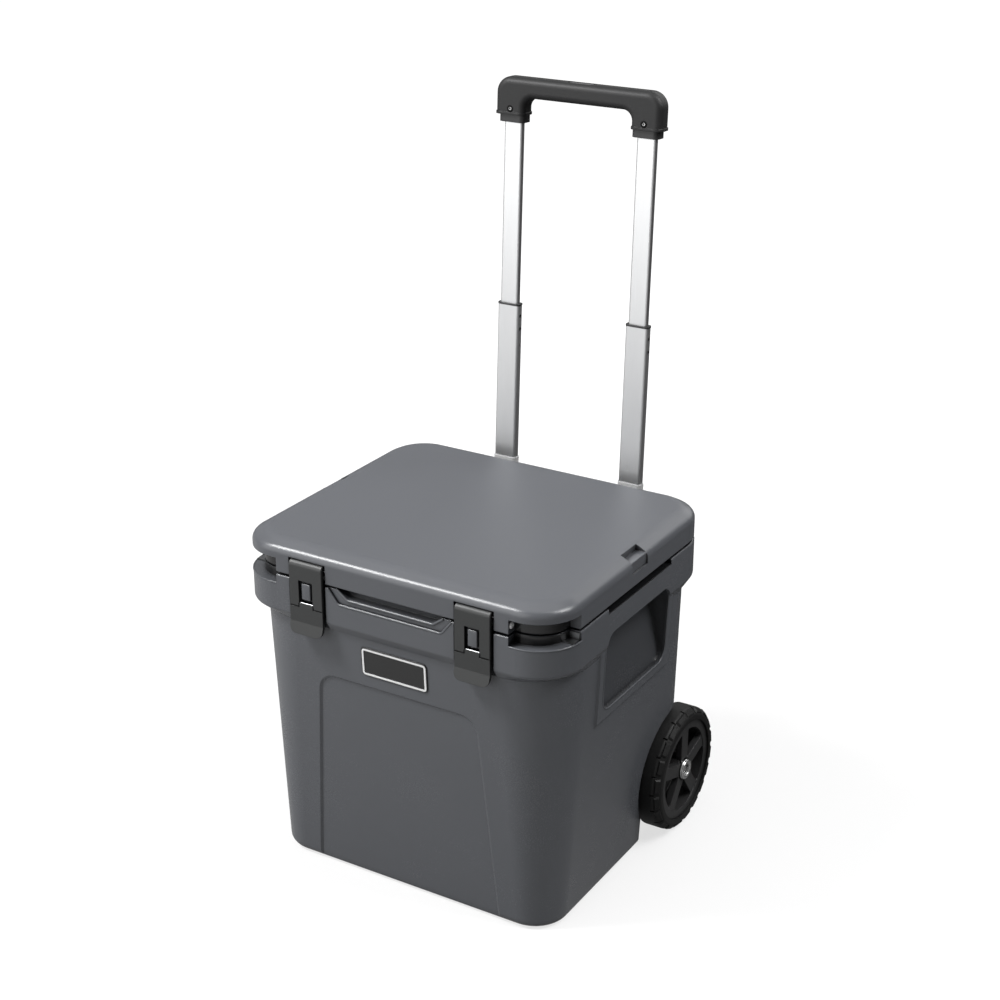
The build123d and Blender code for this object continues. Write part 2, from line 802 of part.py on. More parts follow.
# Pull tab: a tongue with a knuckle on the pin, and a wide lower end that flares outward
with BuildPart() as right_latch_tab:
    tab_top = plate_low - tab_gap
    tab_low = plate_low - tab_length
    with BuildSketch(Plane.YZ.offset(latch_x)):
        with BuildLine():
            Polyline(
                (plate_front, tab_top),
                (plate_back, tab_top),
                (plate_back, tab_low + tab_flare_height),
                (plate_back - tab_flare, tab_low),
                (plate_front - tab_flare, tab_low),
                (plate_front, tab_low + tab_flare_height),
                close=True,
            )
        make_face()
    extrude(amount=latch_width / 2, both=True)
    fillet(right_latch_tab.faces().sort_by(Axis.Z)[0].edges().filter_by(Axis.Y), tab_corner)
    with BuildSketch(Plane.YZ.offset(latch_x)):
        with Locations((tab_pin_y, tab_pin_z)):
            Circle(latch_plate_thickness / 2)
        with Locations((plate_front, tab_top)):
            Rectangle(latch_plate_thickness, tab_pin_z - tab_top, align=(Align.MIN, Align.MIN))
    extrude(amount=tongue_width / 2, both=True)
    with BuildSketch(Plane.YZ.offset(latch_x)):
        with Locations((tab_pin_y, tab_pin_z)):
            Circle(tab_pin_radius + running_gap)
        with Locations((tab_pin_y, tab_pin_z + tab_clip)):
            Rectangle(latch_plate_thickness, latch_plate_thickness, align=(Align.CENTER, Align.MIN))
    extrude(amount=tongue_width, both=True, mode=Mode.SUBTRACT)
right_latch_tab.part.label = "right_latch_tab"
export_step(right_latch_tab.part, "parts/right_latch_tab.step")

with BuildPart() as left_latch_tab:
    mirror(right_latch_tab.part, about=Plane.YZ)
left_latch_tab.part.label = "left_latch_tab"
export_step(left_latch_tab.part, "parts/left_latch_tab.step")


# Section plane of the wheels: X across, local Y outward from the axle
wheel_plane = Plane(origin=(0, wheel_y, wheel_radius), x_dir=(1, 0, 0), z_dir=(0, -1, 0))
wheel_back = wheel_face - tyre_width
hub_face = wheel_face - hub_setback
axle_end = wheel_face - bolt_inset - bolt_head
bush_end = axle_end - end_play
bush_start = wheel_back + hub_setback
bush_radius = axle_radius + running_gap + bush_wall


# Disc or ring about the axle between two positions along X
def axle_ring(start, end, outer, inner=0.0):
    with BuildPart() as ring:
        with BuildSketch(Plane.YZ.offset(start)):
            with Locations((wheel_y, wheel_radius)):
                Circle(outer)
                if inner > 0:
                    Circle(inner, mode=Mode.SUBTRACT)
        extrude(amount=end - start)
    return ring.part


# Tyre with rounded shoulders and cross grooves
with BuildPart() as right_tyre:
    with BuildSketch(wheel_plane) as section:
        with BuildLine():
            Polyline(
                (wheel_back, hub_radius + seat_gap),
                (wheel_back, wheel_radius - tread_shoulder),
                (wheel_back + tread_shoulder, wheel_radius),
                (wheel_face - tread_shoulder, wheel_radius),
                (wheel_face, wheel_radius - tread_shoulder),
                (wheel_face, hub_radius + seat_gap),
                close=True,
            )
        make_face()
        fillet(section.vertices().group_by(Axis.Y)[1] + section.vertices().group_by(Axis.Y)[2], tread_round)
    revolve(axis=wheel_axis)
    groove_length = tyre_width / 2 - tread_shoulder
    with BuildSketch(Plane.YZ.offset(wheel_face - groove_length)):
        with Locations((wheel_y, wheel_radius)):
            with PolarLocations(wheel_radius, tread_grooves):
                Rectangle(2 * groove_depth, groove_width)
    extrude(amount=groove_length, mode=Mode.SUBTRACT)
    with BuildSketch(Plane.YZ.offset(wheel_back)):
        with Locations((wheel_y, wheel_radius)):
            with PolarLocations(wheel_radius, tread_grooves, start_angle=180 / tread_grooves):
                Rectangle(2 * groove_depth, groove_width)
    extrude(amount=groove_length, mode=Mode.SUBTRACT)
right_tyre.part.label = "right_tyre"
export_step(right_tyre.part, "parts/right_tyre.step")

with BuildPart() as left_tyre:
    mirror(right_tyre.part, about=Plane.YZ)
left_tyre.part.label = "left_tyre"
export_step(left_tyre.part, "parts/left_tyre.step")

# Hub: barrel, spokes and a boss for the bush
with BuildPart() as right_hub:
    add(axle_ring(wheel_back + hub_setback, hub_face, hub_radius, hub_radius - hub_wall))
    add(axle_ring(wheel_back + hub_setback, wheel_back + hub_setback + hub_web, hub_radius))
    with BuildSketch(Plane.YZ.offset(hub_face - spoke_setback - spoke_thickness)):
        with Locations((wheel_y, wheel_radius)):
            with PolarLocations((hub_radius - hub_wall) / 2, hub_spokes, start_angle=90):
                Rectangle(hub_radius, spoke_width)
            Circle(hub_radius - hub_wall / 2, mode=Mode.INTERSECT)
    extrude(amount=spoke_thickness)
    add(axle_ring(bush_start + bush_proud, bush_end - bush_proud, hub_boss))
    add(axle_ring(bush_end - bush_proud, far, bolt_head_radius + bolt_room), mode=Mode.SUBTRACT)
    roots = right_hub.edges().filter_by(Axis.X)
    outer_roots = roots.filter_by(lambda edge: (edge.center() - wheel_axis.position).Y ** 2
                                  + (edge.center() - wheel_axis.position).Z ** 2 > (hub_radius / 2) ** 2)
    fillet(outer_roots.filter_by(lambda edge: edge.length < spoke_thickness + 0.1), spoke_root)
    add(axle_ring(-far, far, bush_radius + running_gap), mode=Mode.SUBTRACT)
right_hub.part.label = "right_hub"
export_step(right_hub.part, "parts/right_hub.step")

with BuildPart() as left_hub:
    mirror(right_hub.part, about=Plane.YZ)
left_hub.part.label = "left_hub"
export_step(left_hub.part, "parts/left_hub.step")

# Wheel bush
with BuildPart() as right_bush:
    add(axle_ring(bush_start, bush_end, bush_radius, axle_radius + running_gap))
right_bush.part.label = "right_bush"
export_step(right_bush.part, "parts/right_bush.step")

with BuildPart() as left_bush:
    mirror(right_bush.part, about=Plane.YZ)
left_bush.part.label = "left_bush"
export_step(left_bush.part, "parts/left_bush.step")

# Axle, drilled at both ends for the bolts
with BuildPart() as axle:
    add(axle_ring(-axle_end, axle_end, axle_radius))
    add(axle_ring(axle_end - bolt_reach, axle_end, bolt_shank + running_gap), mode=Mode.SUBTRACT)
    add(axle_ring(-axle_end, bolt_reach - axle_end, bolt_shank + running_gap), mode=Mode.SUBTRACT)
axle.part.label = "axle"
export_step(axle.part, "parts/axle.step")

# Bolt in the axle end, with a domed edge and a six-sided socket
with BuildPart() as right_axle_bolt:
    add(axle_ring(axle_end, axle_end + bolt_head, bolt_head_radius))
    fillet(right_axle_bolt.edges().group_by(Axis.X)[-1], bolt_head / 2)
    add(axle_ring(axle_end - bolt_reach + end_play, axle_end, bolt_shank))
    with BuildSketch(Plane.YZ.offset(axle_end + bolt_head / 3)):
        with Locations((wheel_y, wheel_radius)):
            RegularPolygon(bolt_socket, 6)
    extrude(amount=bolt_head, mode=Mode.SUBTRACT)
right_axle_bolt.part.label = "right_axle_bolt"
export_step(right_axle_bolt.part, "parts/right_axle_bolt.step")

with BuildPart() as left_axle_bolt:
    mirror(right_axle_bolt.part, about=Plane.YZ)
left_axle_bolt.part.label = "left_axle_bolt"
export_step(left_axle_bolt.part, "parts/left_axle_bolt.step")

# Bracket under the tunnel roof
bracket_face = bracket_x + bracket_width / 2
with BuildPart() as right_axle_bracket:
    with BuildSketch(Plane.YZ.offset(bracket_face - bracket_width)):
        with Locations((wheel_y, wheel_radius)):
            Circle(axle_radius + bracket_wall)
        with Locations((wheel_y, tunnel_top)):
            Rectangle(bracket_length, tunnel_top - wheel_radius, align=(Align.CENTER, Align.MAX))
    extrude(amount=bracket_width)
    add(axle_ring(-far, far, axle_radius + running_gap), mode=Mode.SUBTRACT)
right_axle_bracket.part.label = "right_axle_bracket"
export_step(right_axle_bracket.part, "parts/right_axle_bracket.step")

with BuildPart() as left_axle_bracket:
    mirror(right_axle_bracket.part, about=Plane.YZ)
left_axle_bracket.part.label = "left_axle_bracket"
export_step(left_axle_bracket.part, "parts/left_axle_bracket.step")

# Spacer washer between bracket and wheel
with BuildPart() as right_axle_washer:
    add(axle_ring(bracket_face, bush_start - end_play, axle_radius + spacer_wall, axle_radius + running_gap))
right_axle_washer.part.label = "right_axle_washer"
export_step(right_axle_washer.part, "parts/right_axle_washer.step")

with BuildPart() as left_axle_washer:
    mirror(right_axle_washer.part, about=Plane.YZ)
left_axle_washer.part.label = "left_axle_washer"
export_step(left_axle_washer.part, "parts/left_axle_washer.step")


# Tube of a given section between two positions along its axis
def tube(side, low, high, size, wall):
    with BuildPart() as pipe:
        extrude(tube_section(side, low, size), amount=high - low)
        extrude(tube_section(side, low, size, -wall), amount=high - low, mode=Mode.SUBTRACT)
    return pipe.part


# Rear column: follows the rear wall and rim, and carries the outer tubes
with BuildPart() as rear_housing:
    with BuildSketch(Plane.YZ):
        with BuildLine():
            Polyline(
                (wall_rear(housing_low), housing_low),
                (wall_rear(shoulder), shoulder),
                (rim_rear, rim_low),
                (rim_rear, housing_top),
                (tube_y(housing_top) + housing_back, housing_top),
                (tube_y(tail_top) + housing_back, tail_top),
                (tube_y(housing_low) + housing_back - housing_tail, housing_low),
                close=True,
            )
        make_face()
    extrude(amount=housing_half, both=True)
    back_face = rear_housing.faces().sort_by(Axis.Y)[-1]
    fillet(back_face.edges().filter_by(Axis.X, reverse=True), housing_corner)
    # Hollow back between the tubes, with the four screw holes
    with BuildSketch(handle_face.offset(housing_panel_depth - housing_back)):
        with Locations((0, (back_low + back_high) / 2)):
            RectangleRounded(2 * back_half, back_high - back_low, housing_corner)
    extrude(amount=-far, mode=Mode.SUBTRACT)
    add(screw_shanks(seat_gap), mode=Mode.SUBTRACT)
    for side in (-1, 1):
        extrude(
            tube_section(side, outer_tube_low, outer_size, seat_gap), amount=far, mode=Mode.SUBTRACT
        )
rear_housing.part.label = "rear_housing"
export_step(rear_housing.part, "parts/rear_housing.step")

# Outer tubes, fixed in the column
with BuildPart() as right_outer_tube:
    add(tube(1, outer_tube_low, mouth_low, outer_size, outer_wall))
right_outer_tube.part.label = "right_outer_tube"
export_step(right_outer_tube.part, "parts/right_outer_tube.step")

with BuildPart() as left_outer_tube:
    mirror(right_outer_tube.part, about=Plane.YZ)
left_outer_tube.part.label = "left_outer_tube"
export_step(left_outer_tube.part, "parts/left_outer_tube.step")

# Bright collar on the mouth of each outer tube, with a narrow neck that guides the next tube
with BuildPart() as right_mouth_collar:
    extrude(tube_section(1, mouth_low, outer_size), amount=mouth_flange)
    extrude(tube_section(1, mouth_low, mid_size, mouth_wall), amount=mouth_flange + mouth_neck)
    extrude(tube_section(1, mouth_low, mid_size, slide_gap), amount=far, mode=Mode.SUBTRACT)
right_mouth_collar.part.label = "right_mouth_collar"
export_step(right_mouth_collar.part, "parts/right_mouth_collar.step")

with BuildPart() as left_mouth_collar:
    mirror(right_mouth_collar.part, about=Plane.YZ)
left_mouth_collar.part.label = "left_mouth_collar"
export_step(left_mouth_collar.part, "parts/left_mouth_collar.step")

# Bezel on top of the column
with BuildPart() as tube_bezel:
    bezel_back = tube_y(housing_top) + housing_back
    with BuildSketch(Plane.XY.offset(housing_top)) as cover:
        with Locations((0, rim_rear)):
            Rectangle(2 * housing_half, bezel_back - rim_rear, align=(Align.CENTER, Align.MIN))
        fillet(cover.vertices().group_by(Axis.Y)[-1], housing_corner)
    extrude(amount=bezel_thickness)
    for side in (-1, 1):
        extrude(tube_section(side, outer_tube_low, outer_size, seat_gap), amount=far, mode=Mode.SUBTRACT)
tube_bezel.part.label = "tube_bezel"
export_step(tube_bezel.part, "parts/tube_bezel.step")

# Middle stage: tubes with lock holes, top collars and bottom glides
with BuildPart() as right_mid_tube:
    add(tube(1, mid_tube_low, mid_tube_top, mid_size, tube_wall))
    for drop in lock_hole_drops:
        hole = tube_plane(1, mid_tube_top - drop)
        with BuildSketch(Plane(origin=hole.origin, x_dir=(0, 1, 0), z_dir=(1, 0, 0))):
            Circle(lock_hole_radius)
        extrude(amount=mid_size[0], both=True, mode=Mode.SUBTRACT)
    spring_hole = tube_plane(1, mid_tube_top - spring_hole_drop)
    with BuildSketch(Plane(origin=spring_hole.origin, x_dir=(0, 1, 0), z_dir=(-1, 0, 0))):
        Circle(spring_hole_radius)
    extrude(amount=mid_size[0], mode=Mode.SUBTRACT)
right_mid_tube.part.label = "right_mid_tube"
export_step(right_mid_tube.part, "parts/right_mid_tube.step")

with BuildPart() as left_mid_tube:
    mirror(right_mid_tube.part, about=Plane.YZ)
left_mid_tube.part.label = "left_mid_tube"
export_step(left_mid_tube.part, "parts/left_mid_tube.step")

with BuildPart() as right_mid_collar:
    extrude(tube_section(1, mid_tube_top, mid_size, collar_wall), amount=collar_height)
    extrude(
        tube_section(1, mid_tube_top, inner_size, slide_gap), amount=collar_height, mode=Mode.SUBTRACT
    )
right_mid_collar.part.label = "right_mid_collar"
export_step(right_mid_collar.part, "parts/right_mid_collar.step")

with BuildPart() as left_mid_collar:
    mirror(right_mid_collar.part, about=Plane.YZ)
left_mid_collar.part.label = "left_mid_collar"
export_step(left_mid_collar.part, "parts/left_mid_collar.step")

with BuildPart() as right_mid_glide:
    extrude(tube_section(1, mid_tube_low, outer_size, -outer_wall - slide_gap), amount=glide_height)
    extrude(tube_section(1, mid_tube_low, mid_size, seat_gap), amount=glide_height, mode=Mode.SUBTRACT)
right_mid_glide.part.label = "right_mid_glide"
export_step(right_mid_glide.part, "parts/right_mid_glide.step")

with BuildPart() as left_mid_glide:
    mirror(right_mid_glide.part, about=Plane.YZ)
left_mid_glide.part.label = "left_mid_glide"
export_step(left_mid_glide.part, "parts/left_mid_glide.step")

# Upper stage: tubes, bottom glides with a lock pin, collars under the grip
with BuildPart() as right_inner_tube:
    add(tube(1, inner_tube_low, inner_tube_top, inner_size, tube_wall))
right_inner_tube.part.label = "right_inner_tube"
export_step(right_inner_tube.part, "parts/right_inner_tube.step")

with BuildPart() as left_inner_tube:
    mirror(right_inner_tube.part, about=Plane.YZ)
left_inner_tube.part.label = "left_inner_tube"
export_step(left_inner_tube.part, "parts/left_inner_tube.step")

glide_half = mid_size[0] / 2 - tube_wall - slide_gap
lock_pin_centre = tube_plane(1, inner_tube_low - inner_glide_height / 2).origin
lock_pin_across = Plane(origin=lock_pin_centre, x_dir=(0, 1, 0), z_dir=(1, 0, 0))
lock_pin_plane = lock_pin_across.offset(glide_half - lock_pin_length)
with BuildPart() as right_inner_glide:
    glide_low = inner_tube_low - inner_glide_height
    extrude(tube_section(1, glide_low, mid_size, -tube_wall - slide_gap), amount=inner_glide_height)
    extrude(tube_section(1, inner_tube_low, inner_size, -tube_wall - seat_gap), amount=inner_spigot)
    with BuildSketch(lock_pin_plane):
        Circle(lock_pin_radius + running_gap)
    extrude(amount=mid_size[0], mode=Mode.SUBTRACT)
right_inner_glide.part.label = "right_inner_glide"
export_step(right_inner_glide.part, "parts/right_inner_glide.step")

with BuildPart() as left_inner_glide:
    mirror(right_inner_glide.part, about=Plane.YZ)
left_inner_glide.part.label = "left_inner_glide"
export_step(left_inner_glide.part, "parts/left_inner_glide.step")

with BuildPart() as right_lock_pin:
    with BuildSketch(lock_pin_plane):
        Circle(lock_pin_radius)
    extrude(amount=lock_pin_length)
right_lock_pin.part.label = "right_lock_pin"
export_step(right_lock_pin.part, "parts/right_lock_pin.step")

with BuildPart() as left_lock_pin:
    mirror(right_lock_pin.part, about=Plane.YZ)
left_lock_pin.part.label = "left_lock_pin"
export_step(left_lock_pin.part, "parts/left_lock_pin.step")

with BuildPart() as right_grip_collar:
    with BuildSketch(tube_plane(1, grip_collar_low)):
        RectangleRounded(*grip_collar_size, grip_collar_corner)
    extrude(amount=grip_collar_height)
    extrude(
        tube_section(1, grip_collar_low, inner_size, seat_gap), amount=grip_collar_height, mode=Mode.SUBTRACT
    )
right_grip_collar.part.label = "right_grip_collar"
export_step(right_grip_collar.part, "parts/right_grip_collar.step")

with BuildPart() as left_grip_collar:
    mirror(right_grip_collar.part, about=Plane.YZ)
left_grip_collar.part.label = "left_grip_collar"
export_step(left_grip_collar.part, "parts/left_grip_collar.step")

# Grip: a bridge with two legs, hollow for the tubes, the yoke and the button
yoke_top = grip_top - yoke_roof
yoke_low = yoke_top - yoke_height
yoke_half = tube_x + rod_radius + yoke_width / 2
screw_centre = leg_low + grip_screw_rise
with BuildPart() as grip_body:
    with BuildSketch(handle_face) as bridge:
        with BuildLine():
            Polyline(
                (-grip_half_width, leg_low),
                (-grip_half_width, grip_top),
                (grip_half_width, grip_top),
                (grip_half_width, leg_low),
                (grip_leg_inner, leg_low),
                (grip_leg_inner, grip_top - grip_bar),
                (-grip_leg_inner, grip_top - grip_bar),
                (-grip_leg_inner, leg_low),
                close=True,
            )
        make_face()
        fillet(bridge.vertices().group_by(Axis.Y)[-1], grip_outer_corner)
        fillet(bridge.vertices().filter_by_position(Axis.Y, grip_top - grip_bar - 1, grip_top - grip_bar + 1),
               grip_inner_corner)
    extrude(amount=grip_depth / 2, both=True)
    broad = grip_body.faces().sort_by(Axis.Y)
    rims = broad[0].edges() + broad[-1].edges()
    fillet(rims.filter_by_position(Axis.Z, leg_low + 2, far * 2), grip_edge)
    leg_width = grip_half_width - grip_leg_inner
    leg_offset = (grip_half_width + grip_leg_inner) / 2 - tube_x
    for side in (-1, 1):
        with BuildSketch(tube_plane(side, leg_low)):
            with Locations((side * leg_offset, 0)):
                RectangleRounded(leg_width + 2 * grip_lip, grip_depth + 2 * grip_lip, grip_edge + grip_lip)
        extrude(amount=grip_lip_height)
        socket = tube_section(side, leg_low, inner_size, seat_gap)
        extrude(socket, amount=inner_tube_top - leg_low, mode=Mode.SUBTRACT)
        with BuildSketch(handle_face.offset(grip_depth / 2)):
            with Locations((side * tube_x, screw_centre)):
                Circle(grip_screw_radius + seat_gap)
        extrude(amount=-grip_screw_radius, mode=Mode.SUBTRACT)
    with BuildSketch(handle_face):
        with Locations((0, inner_tube_top - seat_gap)):
            yoke_space = yoke_top - inner_tube_top + button_gap
            Rectangle(2 * (yoke_half + button_gap), yoke_space, align=(Align.CENTER, Align.MIN))
    extrude(amount=yoke_width / 2 + button_gap, both=True, mode=Mode.SUBTRACT)
    with BuildSketch(tube_plane(0, yoke_top - button_travel - button_gap)):
        RectangleRounded(button_length + 2 * button_gap, button_width + 2 * button_gap, button_width / 2)
    extrude(amount=far, mode=Mode.SUBTRACT)
grip_body.part.label = "grip_body"
export_step(grip_body.part, "parts/grip_body.step")

with BuildPart() as grip_screws:
    with BuildSketch(handle_face.offset(grip_depth / 2)):
        with Locations((-tube_x, screw_centre), (tube_x, screw_centre)):
            Circle(grip_screw_radius)
    extrude(amount=-grip_screw_radius)
    with BuildSketch(handle_face.offset(grip_depth / 2)):
        with Locations((-tube_x, screw_centre), (tube_x, screw_centre)):
            RegularPolygon(grip_screw_radius / 2, 6)
    extrude(amount=-grip_screw_radius / 2, mode=Mode.SUBTRACT)
grip_screws.part.label = "grip_screws"
export_step(grip_screws.part, "parts/grip_screws.step")

# Release: button in the grip, yoke under it, and rods down the inner tubes
with BuildPart() as release_button:
    with BuildSketch(tube_plane(0, yoke_top)):
        RectangleRounded(button_length, button_width, button_width / 2 - button_gap)
    extrude(amount=yoke_roof - button_sink)
    fillet(release_button.edges().group_by(Axis.Z)[-1], button_sink)
release_button.part.label = "release_button"
export_step(release_button.part, "parts/release_button.step")

with BuildPart() as release_yoke:
    with BuildSketch(tube_plane(0, yoke_low)):
        Rectangle(2 * yoke_half, yoke_width)
    extrude(amount=yoke_height)
release_yoke.part.label = "release_yoke"
export_step(release_yoke.part, "parts/release_yoke.step")

with BuildPart() as right_lock_rod:
    rod_low = inner_tube_low + inner_spigot + 2 * button_travel
    with BuildSketch(tube_plane(1, rod_low)):
        Circle(rod_radius)
    extrude(amount=yoke_low - rod_low)
right_lock_rod.part.label = "right_lock_rod"
export_step(right_lock_rod.part, "parts/right_lock_rod.step")

with BuildPart() as left_lock_rod:
    mirror(right_lock_rod.part, about=Plane.YZ)
left_lock_rod.part.label = "left_lock_rod"
export_step(left_lock_rod.part, "parts/left_lock_rod.step")

# Screws that hold the column to the rear wall
with BuildPart() as housing_screws:
    add(screw_shanks(0))
    with BuildSketch(handle_face.offset(housing_panel_depth - housing_back)):
        with Locations(*screw_spots):
            Circle(housing_screw_radius)
    extrude(amount=-housing_screw_radius / 2)
housing_screws.part.label = "housing_screws"
export_step(housing_screws.part, "parts/housing_screws.step")
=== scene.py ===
import json
import math

import bmesh
import bpy
from mathutils import Matrix, Vector


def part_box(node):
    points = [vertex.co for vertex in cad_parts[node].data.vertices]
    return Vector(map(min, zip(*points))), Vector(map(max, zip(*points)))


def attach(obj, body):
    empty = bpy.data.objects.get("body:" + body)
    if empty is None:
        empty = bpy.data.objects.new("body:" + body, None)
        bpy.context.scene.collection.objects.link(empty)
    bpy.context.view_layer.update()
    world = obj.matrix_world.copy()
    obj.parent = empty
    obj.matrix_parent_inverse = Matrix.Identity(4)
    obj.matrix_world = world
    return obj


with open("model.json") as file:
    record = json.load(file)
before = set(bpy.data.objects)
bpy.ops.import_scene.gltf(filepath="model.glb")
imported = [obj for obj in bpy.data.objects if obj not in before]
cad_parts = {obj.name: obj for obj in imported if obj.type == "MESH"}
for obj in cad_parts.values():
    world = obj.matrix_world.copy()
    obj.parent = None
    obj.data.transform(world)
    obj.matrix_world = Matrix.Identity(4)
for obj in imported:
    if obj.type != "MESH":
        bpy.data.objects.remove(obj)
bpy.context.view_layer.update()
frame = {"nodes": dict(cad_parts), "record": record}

scene = bpy.context.scene
nodes = frame["nodes"]
sides = {"left": -1, "right": 1}
print("frame loaded:", len(nodes), "nodes")


# sockets that can be written into sums, and one method that adds any node
class Wire:
    def __init__(self, finish, socket):
        self.finish, self.socket = finish, socket

    def sum(self, kind, first, second):
        return self.finish.node("ShaderNodeMath", {"operation": kind}, {0: first, 1: second})

    def __add__(self, other):
        return self.sum("ADD", self, other)

    def __radd__(self, other):
        return self.sum("ADD", other, self)

    def __sub__(self, other):
        return self.sum("SUBTRACT", self, other)

    def __rsub__(self, other):
        return self.sum("SUBTRACT", other, self)

    def __mul__(self, other):
        return self.sum("MULTIPLY", self, other)

    def __rmul__(self, other):
        return self.sum("MULTIPLY", other, self)


# how edges and gaps are found: rays for each test, and where each mask starts and ends
tracing = {"samples": 4, "edgeTurn": (0.02, 0.22), "gapOpen": (0.38, 0.85)}


class Finish:
    def __init__(self, name, owner=None, shader="Principled BSDF", coords="Object"):
        self.material = owner or bpy.data.materials.new(name)
        self.material.use_nodes = True
        self.tree = self.material.node_tree
        self.shader = self.tree.nodes[shader]
        self.place = self.node("ShaderNodeTexCoord", out=coords)

    def node(self, kind, settings=None, inputs=None, out=0):
        made = self.tree.nodes.new(kind)
        for key, value in (settings or {}).items():
            if key == "stops":
                ramp = made.color_ramp.elements
                while len(ramp) < len(value):
                    ramp.new(0.5)
                for element, (at, grey) in zip(ramp, value):
                    element.position = at
                    element.color = (grey, grey, grey, 1)
            else:
                setattr(made, key, value)
        for key, value in (inputs or {}).items():
            self.feed(made.inputs[key], value)
        return Wire(self, made.outputs[out])

    def feed(self, socket, value):
        if isinstance(value, Wire):
            self.tree.links.new(value.socket, socket)
        else:
            socket.default_value = value

    def set(self, **values):
        for key, value in values.items():
            self.feed(self.shader.inputs[key.replace("_", " ")], value)

    # noise on the piece's own coordinates, optionally drawn out along an axis
    def noise(self, scale, detail=2.0, stretch=(1, 1, 1), rough=0.5):
        at = self.place
        if stretch != (1, 1, 1):
            at = self.node("ShaderNodeMapping", None, {"Vector": self.place, "Scale": stretch})
        return self.node("ShaderNodeTexNoise", {"noise_dimensions": "3D"},
                         {"Vector": at, "Scale": scale, "Detail": detail, "Roughness": rough})

    def ramp(self, value, low, high):
        return self.node("ShaderNodeValToRGB", {"stops": [(low, 0.0), (high, 1.0)]}, {0: value})

    # soft change from one number to another over a span of the value
    def smooth(self, value, span, ends):
        return self.node("ShaderNodeMapRange", {"interpolation_type": "SMOOTHSTEP"},
                         {"Value": value, "From Min": span[0], "From Max": span[1],
                          "To Min": ends[0], "To Max": ends[1]})

    def tint(self, amount, first, second):
        first, second = (end if isinstance(end, Wire) else (*end, 1) for end in (first, second))
        return self.node("ShaderNodeMix", {"data_type": "RGBA"}, {0: amount, 6: first, 7: second}, out=2)

    def bump(self, height, strength, distance, normal=None):
        inputs = {"Height": height, "Strength": strength, "Distance": distance}
        if normal:
            inputs["Normal"] = normal
        return self.node("ShaderNodeBump", None, inputs)

    # normal softened over edges, and a mask that is 1 where an edge turns sharply
    def edges(self, radius):
        soft = self.node("ShaderNodeBevel", {"samples": tracing["samples"]}, {"Radius": radius})
        plain = self.node("ShaderNodeNewGeometry", out="Normal")
        turn = self.node("ShaderNodeVectorMath", {"operation": "DOT_PRODUCT"},
                         {0: soft, 1: plain}, out="Value")
        return soft, self.ramp(1 - turn, *tracing["edgeTurn"])

    # painted shade: colour in the open, falling to a dark shade inside gaps and tight corners where ambient
    # occlusion finds them
    def paintGapShade(self, look, body):
        near = self.node("ShaderNodeAmbientOcclusion", {"samples": tracing["samples"]},
                         {"Distance": look["gapReach"]}, out="AO")
        return self.tint(self.ramp(near, *tracing["gapOpen"]), shade(look["colour"], look["gapShade"]), body)

    # one coordinate of the piece, in metres
    def along(self, axis):
        return self.node("ShaderNodeSeparateXYZ", None, {0: self.place}, out=axis)

    # 1 within a box, the same on the left and the right; its outer face may lean with the wall
    def inside(self, box):
        x, y, z = (self.along(axis) for axis in "XYZ")
        x = x.sum("ABSOLUTE", x, 0.0)
        mask = x.sum("GREATER_THAN", x, box["x"][0])
        mask = mask * x.sum("LESS_THAN", x - z * box["lean"], box["x"][1])
        for at, (low, high) in ((y, box["y"]), (z, box["z"])):
            mask = mask * at.sum("GREATER_THAN", at, low) * at.sum("LESS_THAN", at, high)
        return mask


def shade(colour, factor):
    return tuple(min(1.0, c * factor) for c in colour)


# moulded plastic: fine orange-peel grain and faint tone clouds
def mouldedPlastic(name, look):
    f = Finish(name)
    clouds = f.noise(look["cloudScale"], look["cloudDetail"])
    grain = f.noise(look["grainScale"])
    soft, edge = f.edges(look["edgeRadius"])
    tone = clouds * look["cloudAmount"] + edge * look["edgeAmount"]
    body = f.tint(tone, look["colour"], shade(look["colour"], look["lighter"]))
    # painted shade: darker colour inside each given box
    for shadeBox in look.get("shadeBoxes", ()):
        body = f.tint(f.inside(shadeBox), body, shade(look["colour"], shadeBox["shade"]))
    rough = (look["roughness"] + (clouds - 0.5) * look["cloudRough"] + (grain - 0.5) * look["grainRough"]
             - edge * look["edgePolish"])
    if "dullTop" in look:
        low, high, more = look["dullTop"]
        rough = rough + f.ramp(f.along("Z"), low, high) * more
    f.set(Base_Color=f.paintGapShade(look, body),
          Roughness=rough,
          Normal=f.bump(grain, look["grainDepth"], look["grainHeight"], soft),
          Specular_IOR_Level=look["specular"])
    return f.material


# rubber: dull, with a faint bloom and a fine grain
def mouldedRubber(name, look):
    f = Finish(name)
    bloom = f.noise(look["bloomScale"], look["bloomDetail"])
    grain = f.noise(look["grainScale"])
    soft, edge = f.edges(look["edgeRadius"])
    tone = bloom * look["bloom"] + edge * look["edgeAmount"]
    body = f.tint(tone, look["colour"], shade(look["colour"], look["lighter"]))
    f.set(Base_Color=f.paintGapShade(look, body),
          Roughness=look["roughness"] + (bloom - 0.5) * look["bloomRough"] + edge * look["edgeRough"],
          Normal=f.bump(grain, look["grainDepth"], look["grainHeight"], soft),
          Specular_IOR_Level=look["specular"])
    return f.material


# metal drawn or brushed along one axis
def brushedMetal(name, look):
    f = Finish(name)
    streaks = f.noise(look["streakScale"], look["streakDetail"], look["stretch"], look["streakGrit"])
    broad = f.noise(look["broadScale"], stretch=look["broadStretch"])
    tone = streaks * look["streakShare"] + broad * (1 - look["streakShare"])
    body = f.tint(tone, shade(look["colour"], look["darker"]), look["colour"])
    f.set(Base_Color=f.paintGapShade(look, body),
          Metallic=1.0,
          Roughness=look["roughness"] + (streaks - 0.5) * look["streakRough"],
          Normal=f.bump(streaks, look["depth"], look["streakHeight"]))
    return f.material


